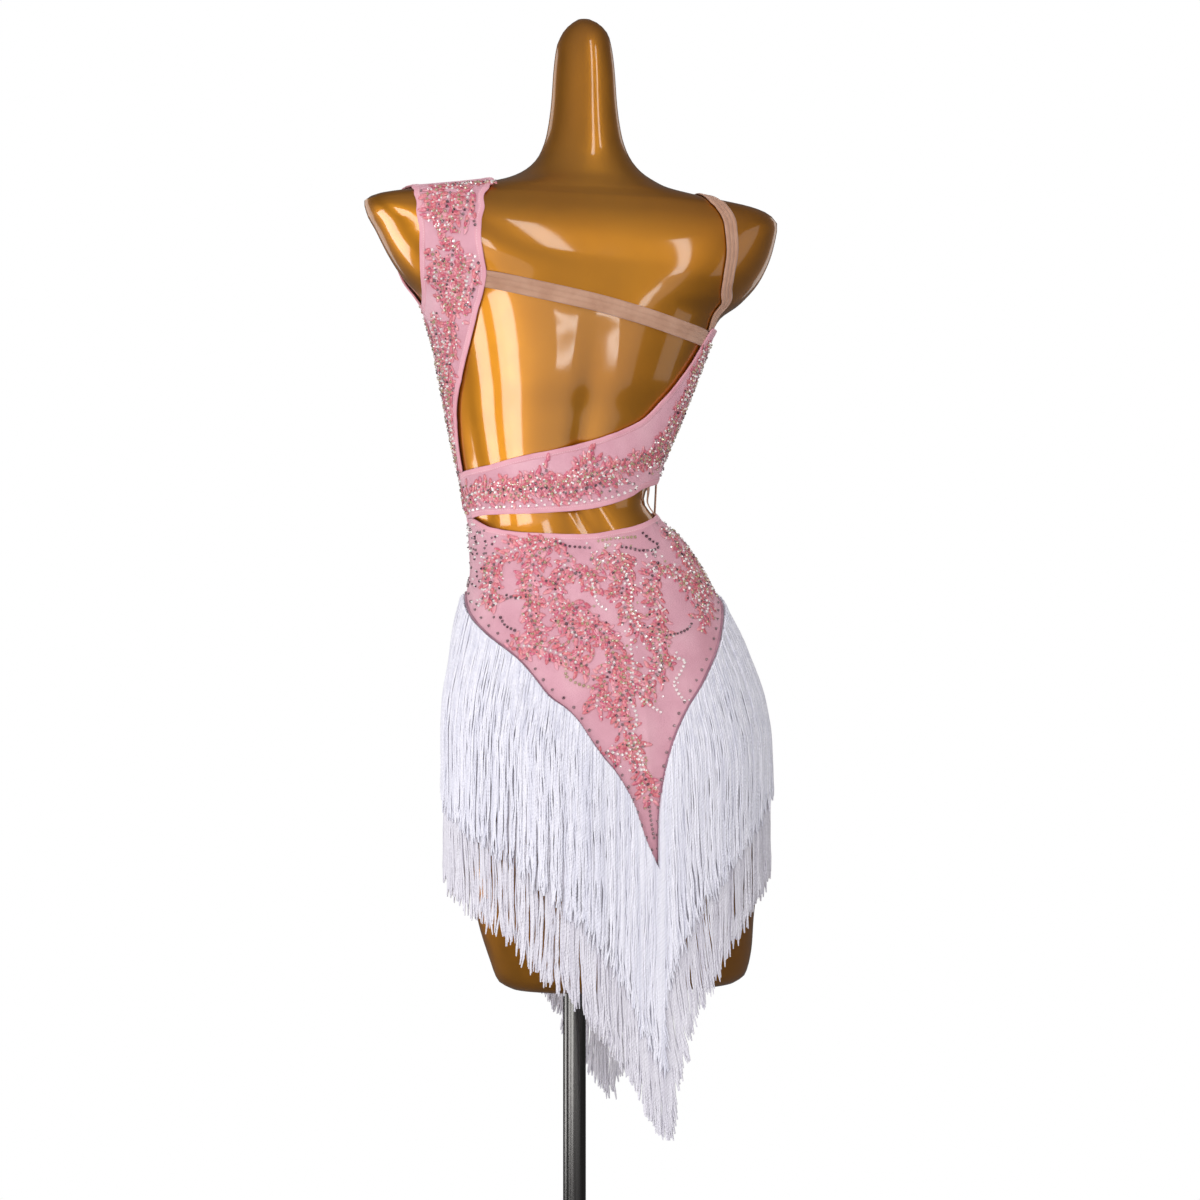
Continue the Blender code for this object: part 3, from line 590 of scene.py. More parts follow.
class Finish(Nodes):
    """A material that is built up node by node."""

    def __init__(self, name, **settings):
        self.material = bpy.data.materials.new(name)
        self.material.use_nodes = True
        super().__init__(self.material.node_tree)
        self.shader = self.tree.nodes["Principled BSDF"]
        for socket, value in settings.items():
            self.shader.inputs[socket.replace("_", " ")].default_value = value

    def set(self, name, value):
        self.feed(self.shader.inputs[name], value)

    def place(self, scale, source="Object"):
        """Coordinates scaled by a number or by one number for each axis."""
        size = scale if isinstance(scale, tuple) else (scale,) * 3
        coordinates = self.node("TexCoord")
        return self.node("Mapping", {"Vector": coordinates.outputs[source], "Scale": size}).outputs["Vector"]

    def noise(self, vector, scale, detail=3.0, roughness=0.5):
        inputs = {"Vector": vector, "Scale": scale, "Detail": detail, "Roughness": roughness}
        return self.node("TexNoise", inputs).outputs["Fac"]

    def attribute(self, name):
        return self.node("Attribute", attribute_name=name).outputs["Fac"]

    def split(self, vector):
        return self.node("SeparateXYZ", {"Vector": vector}).outputs

    def math(self, operation, *values):
        made = self.node("Math", operation=operation)
        for socket, value in zip(made.inputs, values):
            self.feed(socket, value)
        return made.outputs[0]

    def wave(self, value, period):
        return self.math("SINE", self.math("MULTIPLY", value, 2 * math.pi / period))

    def mix(self, share, one, two):
        made = self.node("Mix", data_type="RGBA")
        self.feed(made.inputs["Factor"], share)
        for socket, value in zip([s for s in made.inputs if s.type == "RGBA"], (one, two)):
            self.feed(socket, value if isinstance(value, bpy.types.NodeSocket) else (*value, 1))
        return next(s for s in made.outputs if s.type == "RGBA")

    def spread(self, value, low, high, to_low, to_high):
        names = ("Value", "From Min", "From Max", "To Min", "To Max")
        return self.node("MapRange", dict(zip(names, (value, low, high, to_low, to_high)))).outputs["Result"]

    def bump(self, height, distance, strength=1.0, normal=None):
        inputs = {"Height": height, "Distance": distance, "Strength": strength}
        if normal:
            inputs["Normal"] = normal
        return self.node("Bump", inputs).outputs["Normal"]


def gold_finish():
    """Gold lacquer under a clear coat, with a faint waviness from the moulding."""
    finish = Finish("gold_form", Metallic=0.95, Coat_Weight=1.0, Coat_Roughness=0.075, Coat_IOR=1.75)
    space = finish.place(1.0)
    cloud = finish.noise(space, 6.0, 2.0)
    colour = finish.ramp(cloud, (0.3, (0.69, 0.255, 0.009)), (0.7, (0.77, 0.31, 0.016)))
    finish.set("Base Color", colour)
    flake = finish.noise(space, 60.0, 3.0)
    finish.set("Roughness", finish.spread(flake, 0.3, 0.7, 0.38, 0.43))
    peel = finish.noise(space, 18.0, 0.0)
    finish.set("Normal", finish.bump(peel, 0.1 * MM))
    return finish.material


def steel_finish(name, colour, roughness, scratches):
    """Dark plating with fine lines from polishing."""
    finish = Finish(name, Metallic=1.0)
    lines = finish.noise(finish.place(scratches), 1.0, 4.0)
    dark = tuple(part * 0.75 for part in colour)
    finish.set("Base Color", finish.ramp(lines, (0.3, dark), (0.7, colour)))
    finish.set("Roughness", finish.spread(lines, 0.3, 0.7, roughness, roughness * 1.4))
    finish.set("Normal", finish.bump(lines, 0.03 * MM))
    return finish.material


def knit(finish, pitch):
    """Height of a fine warp knit: rows of small loops that follow the cloth's own length and width."""
    parts = finish.split(finish.place(1 / pitch, "UV"))
    rows = finish.wave(parts["Y"], 1)
    lean = finish.math("MULTIPLY", finish.math("ABSOLUTE", rows), 0.35)
    columns = finish.wave(finish.math("ADD", parts["X"], lean), 1)
    return finish.math("ADD", finish.math("ABSOLUTE", columns), finish.math("MULTIPLY", rows, 0.4))


def cloth_finish(name, shade, mid, light):
    """Stretch knit with a soft sheen, slightly uneven in tone, with painted shade in the hollows between its
    loops.
    """
    finish = Finish(name, Sheen_Weight=0.35, Sheen_Roughness=0.4, Sheen_Tint=(1.0, 0.82, 0.86, 1))
    space = finish.place(1.0)
    cloud = finish.noise(space, 22.0, 4.0)
    fibre = finish.noise(space, 1400.0, 2.0)
    colour = finish.ramp(cloud, (0.3, shade), (0.5, mid), (0.72, light))
    loops = knit(finish, 1.1 * MM)
    # Painted shade: where the knit's loops are low, the colour is mixed towards the darkest tone.
    colour = finish.mix(finish.spread(loops, 0.0, 1.3, 0.16, 0.0), colour, shade)
    finish.set("Base Color", colour)
    finish.set("Roughness", finish.spread(fibre, 0.3, 0.7, 0.56, 0.70))
    fold = finish.bump(cloud, 0.6 * MM, 0.6)
    finish.set("Normal", finish.bump(loops, 0.12 * MM, 0.8, fold))
    return finish.material


def binding_finish():
    """Folded edge tape: a paler satin knit with a row of stitches along it."""
    tint = (1.0, 0.86, 0.9, 1)
    finish = Finish("pink_binding", Sheen_Weight=0.4, Sheen_Roughness=0.35, Sheen_Tint=tint)
    parts = finish.split(finish.place(1.0, "UV"))
    dash = finish.math("GREATER_THAN", finish.wave(parts["X"], 2.4 * MM), -0.4)
    row = finish.math("ABSOLUTE", finish.math("SUBTRACT", parts["Y"], BINDING[0] * 0.72))
    stitch = finish.math("MULTIPLY", finish.math("LESS_THAN", row, 0.45 * MM), dash)
    cloud = finish.noise(finish.place(1.0), 40.0, 3.0)
    colour = finish.ramp(cloud, (0.3, (0.66, 0.30, 0.36)), (0.7, (0.75, 0.38, 0.44)))
    colour = finish.mix(finish.math("MULTIPLY", stitch, 0.55), colour, (0.88, 0.58, 0.62))
    finish.set("Base Color", colour)
    finish.set("Roughness", finish.spread(cloud, 0.3, 0.7, 0.46, 0.6))
    pucker = finish.noise(finish.place((300.0, 60.0, 1.0), "UV"), 1.0, 2.0)
    soft = finish.bump(pucker, 0.4 * MM, 0.5)
    finish.set("Normal", finish.bump(stitch, 0.2 * MM, 1.0, soft))
    return finish.material


def seam_finish():
    """Mauve overlock stitches along the fringe, with painted shade between the stitches."""
    finish = Finish("mauve_stitching", Sheen_Weight=0.3, Sheen_Roughness=0.5)
    stitch = finish.wave(finish.split(finish.place(1.0, "UV"))["X"], 1.6 * MM)
    cloud = finish.noise(finish.place(1.0), 70.0, 2.0)
    colour = finish.ramp(cloud, (0.3, (0.30, 0.13, 0.19)), (0.7, (0.46, 0.22, 0.29)))
    # Painted shade: darker mauve where the stitches' wave is low, between the stitches.
    colour = finish.mix(finish.spread(stitch, -1.0, 1.0, 0.35, 0.0), colour, (0.22, 0.09, 0.13))
    finish.set("Base Color", colour)
    finish.set("Roughness", finish.spread(stitch, -1.0, 1.0, 0.75, 0.6))
    finish.set("Normal", finish.bump(stitch, 0.2 * MM))
    return finish.material


def elastic_finish():
    """Nude ribbed elastic: fine cross threads over rubber cores, with painted shade in the low cells of the
    weave.
    """
    finish = Finish("nude_elastic", Sheen_Weight=0.25, Sheen_Roughness=0.5)
    parts = finish.split(finish.place(1.0, "UV"))
    weave = finish.math("MULTIPLY", finish.wave(parts["X"], 1.1 * MM), finish.wave(parts["Y"], 1.4 * MM))
    cloud = finish.noise(finish.place(1.0), 60.0, 3.0)
    colour = finish.ramp(cloud, (0.3, (0.45, 0.235, 0.145)), (0.7, (0.57, 0.33, 0.22)))
    # Painted shade: the colour is darker nude where the weave is low.
    colour = finish.mix(finish.spread(weave, -1.0, 1.0, 0.3, 0.0), colour, (0.34, 0.17, 0.10))
    finish.set("Base Color", colour)
    finish.set("Roughness", finish.spread(weave, -1.0, 1.0, 0.7, 0.55))
    finish.set("Normal", finish.bump(weave, 0.14 * MM))
    return finish.material


def leaf_finish():
    """Moulded sequins: coral and rose, with pale patches of painted iridescent sheen, and a darker rim where
    beads hold them down.
    """
    finish = Finish("rose_sequin", Coat_Weight=0.4, Coat_Roughness=0.1, Metallic=0.1, Roughness=0.36)
    tint = finish.attribute("tint")
    colour = finish.ramp(
        tint,
        (0.0, (0.58, 0.09, 0.15)),
        (0.25, (0.70, 0.15, 0.19)),
        (0.5, (0.62, 0.11, 0.21)),
        (0.75, (0.76, 0.23, 0.28)),
        (1.0, (0.79, 0.33, 0.42)),
    )
    rim_colour = finish.ramp(
        tint,
        (0.0, (0.33, 0.13, 0.09)),
        (0.5, (0.50, 0.30, 0.16)),
        (1.0, (0.62, 0.22, 0.24)),
    )
    painted_sheen_noise = finish.noise(finish.place(1.0), 420.0, 1.0)
    # Painted sheen: pale peach patches from noise stand for the sequins' iridescent gleam.
    colour = finish.mix(finish.spread(painted_sheen_noise, 0.4, 0.7, 0.0, 0.4), colour, (0.92, 0.58, 0.50))
    rim = finish.spread(finish.attribute("rim"), 0.78, 1.0, 0.0, 0.8)
    finish.set("Base Color", finish.mix(rim, colour, rim_colour))
    finish.set("Normal", finish.bump(painted_sheen_noise, 0.1 * MM))
    return finish.material


def stone_finish():
    """Faceted glass stones on foil: jet, smoke, champagne and clear."""
    finish = Finish("foiled_stones", Metallic=0.3, Roughness=0.2, Coat_Weight=1.0, Coat_Roughness=0.02)
    tint = finish.attribute("tint")
    colour = finish.ramp(
        tint,
        (0.0, (0.085, 0.035, 0.050)),
        (0.2, (0.24, 0.16, 0.17)),
        (0.45, (0.46, 0.38, 0.22)),
        (0.68, (0.80, 0.62, 0.48)),
        (0.82, (0.95, 0.92, 0.88)),
        constant=True,
    )
    glint = finish.noise(finish.place(1.0), 700.0, 0.0)
    colour = finish.mix(finish.spread(glint, 0.45, 0.7, 0.0, 0.3), colour, (0.95, 0.80, 0.82))
    finish.set("Base Color", colour)
    return finish.material


def fringe_finish(name, shade, light):
    """Twisted rayon yarn: a fine slanting ply, silky, with darker streaks at random whose lilac tint is
    painted shade, and painted lilac shade in the grooves of the ply.
    """
    finish = Finish(name, Sheen_Weight=0.3, Sheen_Roughness=0.4)
    parts = finish.split(finish.place(1.0))
    lean = finish.math("MULTIPLY", finish.math("ADD", parts["X"], parts["Y"]), 1300.0)
    ply = finish.math("SINE", finish.math("ADD", finish.math("MULTIPLY", parts["Z"], 1500.0), lean))
    streak = finish.noise(finish.place((260.0, 260.0, 5.0)), 1.0, 3.0)
    colour = finish.ramp(streak, (0.32, shade), (0.6, light))
    # Painted shade: the grooves of the ply are mixed towards the lilac darker tone.
    colour = finish.mix(finish.spread(ply, -1.0, 1.0, 0.14, 0.0), colour, shade)
    finish.set("Base Color", colour)
    finish.set("Roughness", finish.spread(streak, 0.3, 0.7, 0.42, 0.6))
    finish.set("Normal", finish.bump(ply, 0.15 * MM))
    return finish.material


# --- the form and its stand


def dress_form(finish):
    """The glossy torso: a sphere whose rings are moved to the sections."""
    rings = round(SIDE_WAY[-1] / RING_STEP)
    shape = bmesh.new()
    bmesh.ops.create_uvsphere(shape, u_segments=FORM_SIDES, v_segments=rings, radius=1)
    bottom = Vector((COLUMNS[1][0], COLUMNS[2][0], COLUMNS[0][0])) * MM
    for vertex in shape.verts:
        ring = round(rings * (1 - math.acos(min(max(vertex.co.z, -1), 1)) / math.pi))
        angle = math.degrees(math.atan2(vertex.co.y, vertex.co.x))
        way = SIDE_WAY[-1] * (ring - 1) / (rings - 1)
        vertex.co = body_point(angle, way, cloth=False) if ring else bottom
    made = add_piece("form_torso", shape, finish, "gold_form")
    made.data.set_sharp_from_angle(angle=math.radians(50))
    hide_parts("dress_form")


def disc(name, node, radius, low, high, edge, finish, slot):
    """An upright cylinder with rounded edges, in place of a node."""
    shape = bmesh.new()
    bmesh.ops.create_cone(
        shape, cap_ends=True, segments=ROUND_SIDES, radius1=radius, radius2=radius, depth=high - low
    )
    bmesh.ops.translate(shape, verts=shape.verts, vec=(0, 0, (low + high) / 2))
    rims = [e for e in shape.edges if abs(e.verts[0].co.z - e.verts[1].co.z) < MM]
    bmesh.ops.bevel(
        shape, geom=rims, offset=edge, segments=4, profile=0.5, affect="EDGES", material=-1
    )
    made = add_piece(name, shape, finish, slot)
    made.data.set_sharp_from_angle(angle=math.radians(40))
    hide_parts(node)


def stand():
    """The pole, the round base plate and the turned collar between them."""
    pole_steel = steel_finish("polished_steel", (0.16, 0.155, 0.15), 0.2, (500.0, 500.0, 6.0))
    base_steel = steel_finish("base_metal", (0.34, 0.33, 0.32), 0.28, (60.0, 60.0, 60.0))
    top = FORM_SECTIONS[0][0] * MM + SOCKET_DEPTH - POLE_FIT
    pole = (POLE_RADIUS, BASE_THICKNESS, top, POLE_EDGE)
    disc("pole_tube", "stand_pole", *pole, pole_steel, "polished_steel")
    base = (BASE_RADIUS, 0, BASE_THICKNESS, BASE_EDGE)
    disc("base_plate", "stand_base", *base, base_steel, "base_metal")
    shape = bmesh.new()
    ring = [
        shape.verts.new((HUB_RADIUS * wide, 0, BASE_THICKNESS + HUB_HEIGHT * high))
        for wide, high in HUB_PROFILE
    ]
    edges = [shape.edges.new(pair) for pair in zip(ring, ring[1:] + ring[:1])]
    bmesh.ops.spin(
        shape, geom=ring + edges, cent=(0, 0, 0), axis=(0, 0, 1), dvec=(0, 0, 0), angle=2 * math.pi,
        steps=ROUND_SIDES, use_merge=True, use_duplicate=False,
    )
    bmesh.ops.recalc_face_normals(shape, faces=shape.faces)
    hub = add_piece("pole_collar", shape, pole_steel, "polished_steel")
    hub.data.set_sharp_from_angle(angle=math.radians(35))
    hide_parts("stand_hub")


# --- cloth


def crease(point, strength):
    """Soft creases that run across the pull of the cloth."""
    wide = noise.noise(point * Vector(CREASES))
    fine = noise.noise(point * Vector(FINE_CREASES) + Vector((7, 3, 1)))
    return strength * (0.5 + 0.6 * wide + 0.25 * fine)


def charted():
    """An empty mesh and its texture layer."""
    shape = bmesh.new()
    return shape, shape.loops.layers.uv.new("UVMap")


def lay_grid(shape, uv, columns, rows, place, chart):
    """Adds a grid whose points are place(across, up) and whose texture places are chart(across, up)."""
    grid = bmesh.ops.create_grid(shape, x_segments=columns, y_segments=rows, size=0.5)
    for face in {face for vertex in grid["verts"] for face in vertex.link_faces}:
        for loop in face.loops:
            loop[uv].uv = chart(loop.vert.co.x + 0.5, loop.vert.co.y + 0.5)
    for vertex in grid["verts"]:
        vertex.co = place(vertex.co.x + 0.5, vertex.co.y + 0.5)


def flat_chart(width, length):
    """Texture places in metres on the flat cloth."""
    return lambda across, up: (across * width, up * length)


def sheet_piece(name, node, grids, thickness, finish, slot):
    """A sheet with its thickness outwards. A grid has columns, rows, its size and place(across, up)."""
    shape, uv = charted()
    for columns, rows, size, place in grids:
        lay_grid(shape, uv, columns, rows, place, flat_chart(*size))
    bmesh.ops.remove_doubles(shape, verts=shape.verts, dist=JOINED)
    made = add_piece(name, shape, finish, slot)
    wall = made.modifiers.new("wall", "SOLIDIFY")
    wall.thickness = thickness
    wall.offset = 1
    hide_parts(node)
    return made


def on_cloth(angle, way):
    """Point of the cloth's inner face, with its creases."""
    spot = Spot(angle, way)
    return spot.point + spot.out * (EASE + crease(spot.point, CREASE))


def between_lines(first, last, lower, upper, tip=None):
    """Places a piece between two lines. With a tip, its columns crowd towards that angle."""

    def angle_of(share):
        if tip is None:
            return first + (last - first) * share
        side, far = (first, 1 - 2 * share) if share < 0.5 else (last, 2 * share - 1)
        return tip + (side - tip) * far**TIP_CROWDING

    def place(across, up):
        angle = angle_of(across)
        low, high = way_up(lower(angle)), way_up(upper(angle))
        return on_cloth(angle, low + (high - low) * up)

    return place


def within_edges(bottom, first, top, last):
    """Places a piece inside four edges. The first edge is where across is 0, and the last where it is 1."""

    def place(across, up):
        upright = first(up) * (1 - across) + last(up) * across
        level = bottom(across) * (1 - up) + top(across) * up
        corners = (bottom(0) * (1 - across) + bottom(1) * across) * (1 - up)
        corners += (top(0) * (1 - across) + top(1) * across) * up
        return on_cloth(*(upright + level - corners))

    return place


def bodice_grids():
    """The bodice in two grids, and the front of the wide strap."""
    chest, waist = line_of(FRONT_NECKLINE, FRONT_STRAP_FOOT), line_of(*FRONT_WAIST)
    open_share = (NECK_CORNER - RIGHT_SEAM) / (FAR_LEFT - RIGHT_SEAM)

    def strap_foot(share):
        angle = NECK_CORNER + (FAR_LEFT - NECK_CORNER) * share
        return Vector((angle, way_up(chest(angle))))

    strap_edges = along(FRONT_STRAP_INNER), along(FRONT_STRAP_TOP), along(FRONT_STRAP_OUTER)
    return (
        (60, 64, (0.36 * open_share, 0.28), between_lines(RIGHT_SEAM, NECK_CORNER, waist, chest)),
        (22, 64, (0.36 * (1 - open_share), 0.26), between_lines(NECK_CORNER, FAR_LEFT, waist, chest)),
        (22, 40, (0.09, 0.13), within_edges(strap_foot, *strap_edges)),
    )


def dress(pink):
    """The five cut pieces of the dress, by node."""
    back = between_lines(LEFT_SEAM, RIGHT_SEAM, line_of(*BACK_V), line_of(*BACK_YOKE_TOP), BACK_TIP)
    front = between_lines(RIGHT_SEAM, FAR_LEFT, line_of(*FRONT_V), line_of(*FRONT_YOKE_TOP), FRONT_TIP)
    band = between_lines(LEFT_SEAM, RIGHT_SEAM, line_of(*BAND_BOTTOM), line_of(BAND_TOP))
    strap = within_edges(along(STRAP_BOTTOM), along(STRAP_OUTER), along(STRAP_TOP), along(STRAP_INNER))
    pieces = (
        ("back_yoke_cloth", "yoke_back", ((96, 70, (0.33, 0.35), back),)),
        ("front_yoke_cloth", "yoke_front", ((90, 60, (0.33, 0.34), front),)),
        ("wrap_band_cloth", "back_band", ((90, 20, (0.31, 0.09), band),)),
        ("left_strap_cloth", "left_back_strap", ((18, 100, (0.055, 0.39), strap),)),
        ("bodice_cloth", "bodice_front", bodice_grids()),
    )
    return {
        node: sheet_piece(name, node, grids, CLOTH, pink, "pink_stretch") for name, node, grids in pieces
    }


# --- tapes: bound edges, seams and elastics


class Tape:
    """Evenly spaced spots along a line, for a tape that follows it."""

    def __init__(self, line):
        at = along(line)
        self.length = at.length
        self.steps = math.ceil(at.length / TAPE_STEP)
        self.spots = [Spot(*at(i / self.steps)) for i in range(self.steps + 1)]

    def at(self, share):
        """The spot at a share of the length, and the way to the left of the line there."""
        i = round(share * self.steps)
        last, following = self.spots[max(i - 1, 0)], self.spots[min(i + 1, self.steps)]
        ahead = (following.point - last.point).normalized()
        return self.spots[i], self.spots[i].out.cross(ahead)


def signed_power(value, power):
    """The power of a value's size, with the value's sign."""
    return math.copysign(abs(value) ** power, value)


def bind(shape, uv, line, side, width, rise, ring):
    """Adds a folded tape along an edge. side is 1 where the cloth lies to the left of the line's way."""
    tape = Tape(line)
    middle = EASE + CREASE / 2 + CLOTH / 2

    def across_tape(turn):
        return 0.5 - 0.5 * signed_power(math.cos(turn), 0.5)

    def place(along_share, turn_share):
        turn = 2 * math.pi * turn_share
        spot, left = tape.at(along_share)
        wave = noise.noise(spot.point * 90) * 0.3 * MM
        across = across_tape(turn)
        bead = 1 + 0.7 * math.exp(-((across / TAPE_BEAD) ** 2))
        lift = middle + signed_power(math.sin(turn), 0.6) * (CLOTH / 2 + rise * bead) + wave
        return spot.point + left * side * (across * width - TAPE_OVERHANG + wave) + spot.out * lift

    def chart(along_share, turn_share):
        return along_share * tape.length, across_tape(2 * math.pi * turn_share) * width

    lay_grid(shape, uv, tape.steps, ring, place, chart)


def folded_tape(name, lines, side, form, finish):
    """A closed tape along each of the lines, in one piece."""
    shape, uv = charted()
    for line in lines:
        bind(shape, uv, line, side, *form)
    bmesh.ops.remove_doubles(shape, verts=shape.verts, dist=JOINED)
    bmesh.ops.holes_fill(shape, edges=[edge for edge in shape.edges if edge.is_boundary], sides=0)
    bmesh.ops.recalc_face_normals(shape, faces=shape.faces)
    return add_piece(name, shape, finish, "pink_stretch")


def bound_edges(finish):
    """Folded tape on every free edge, by name."""
    edges = (
        ("yoke_top_binding", sum(BACK_YOKE_TOP, ())[2:], -1),
        ("band_bottom_binding", sum(BAND_BOTTOM, ())[2:] + FRONT_WAIST[0][1:], 1),
        ("band_top_binding", BAND_TOP, -1),
        ("strap_inner_binding", STRAP_INNER, 1),
        ("strap_outer_binding", STRAP_OUTER[2:], -1),
        ("neckline_binding", FRONT_NECKLINE + FRONT_STRAP_INNER[1:], -1),
        ("front_armhole_binding", FRONT_STRAP_OUTER, 1),
        ("front_waist_binding", FRONT_YOKE_TOP[1], -1),
    )
    return {
        name: folded_tape(name, (tuple(dict.fromkeys(line)),), side, BINDING, finish)
        for name, line, side in edges
    }


def fringe_seams(finish):
    """The rolled seam where the fringe is sewn to each yoke, by the yoke's node."""
    back = folded_tape("back_fringe_seam", BACK_V, 1, FRINGE_SEAM, finish)
    front = folded_tape("front_fringe_seam", FRONT_V, 1, FRINGE_SEAM, finish)
    return {"yoke_back": back, "yoke_front": front}


def ribbon(name, node, line, width, ease, finish, ribs=0, faces_across=4):
    """A flat elastic, with raised ribs along it if it is wide."""
    tape = Tape(line)

    def place(along_share, across):
        spot, left = tape.at(along_share)
        ridge = abs(math.sin(math.pi * ribs * across)) ** 0.7 * RIB_RISE if ribs else 0
        return spot.point + left * width * (across - 0.5) + spot.out * (ease + ridge)

    grid = (tape.steps, faces_across, (tape.length, width), place)
    return sheet_piece(name, node, [grid], ELASTIC, finish, "nude_elastic"), tape.length


def elastics(finish):
    """The two wide elastics, and the two narrow ones at the waist, which are returned."""
    wide = (
        # name, node, line, width, share of its worn length that it was cut to
        ("back_elastic_tape", "back_elastic", BACK_ELASTIC_LINE, BACK_ELASTIC_WIDTH, 0.85),
        ("shoulder_elastic_tape", "shoulder_elastic", SHOULDER_ELASTIC_LINE, SHOULDER_ELASTIC_WIDTH, 0.9),
    )
    for name, node, line, width, cut in wide:
        made, length = ribbon(name, node, line, width, ELASTIC_EASE, finish, ELASTIC_RIBS, faces_across=18)
    narrow = (WAIST_ELASTIC_LINE, SIDE_ELASTIC_WIDTH, WAIST_ELASTIC_EASE)
    waist, _ = ribbon("waist_elastic_tape", "waist_elastic", *narrow, finish)
    yoke_edge, band_edge = (
        Spot(SIDE_ELASTIC_ANGLE, way_up(line_of(*edge)(SIDE_ELASTIC_ANGLE)), EASE + CLOTH).point
        for edge in (BACK_YOKE_TOP, BAND_BOTTOM)
    )
    tucked = (band_edge - yoke_edge).normalized() * TUCKED

    def taut(along_share, across):
        middle = (yoke_edge - tucked).lerp(band_edge + tucked, along_share)
        return middle + Vector((0, -SIDE_ELASTIC_WIDTH, 0)) * (across - 0.5)

    grid = (12, 4, ((band_edge - yoke_edge).length, SIDE_ELASTIC_WIDTH), taut)
    side = sheet_piece("side_elastic_tape", "side_elastic", [grid], ELASTIC, finish, "nude_elastic")
    return [waist, side]


# --- leaf sequins and stones


class Batches:
    """A growing mesh of small things, each point of which has a few named numbers."""

    def __init__(self, *names):
        self.names = names
        self.full = []
        self.start()

    def start(self):
        self.shape, self.held = bmesh.new(), 0
        self.layers = [self.shape.verts.layers.float.new(name) for name in self.names]

    def finish_batch(self):
        self.full.append(mesh_from("batch", self.shape))

    def next_batch(self):
        """The batch that the next small thing goes in, and its layers."""
        if self.held == BATCH:
            self.finish_batch()
            self.start()
        self.held += 1
        return self.shape, self.layers

    def all_together(self):
        self.finish_batch()
        whole = bmesh.new()
        for mesh in self.full:
            whole.from_mesh(mesh)
            bpy.data.meshes.remove(mesh)
        return whole


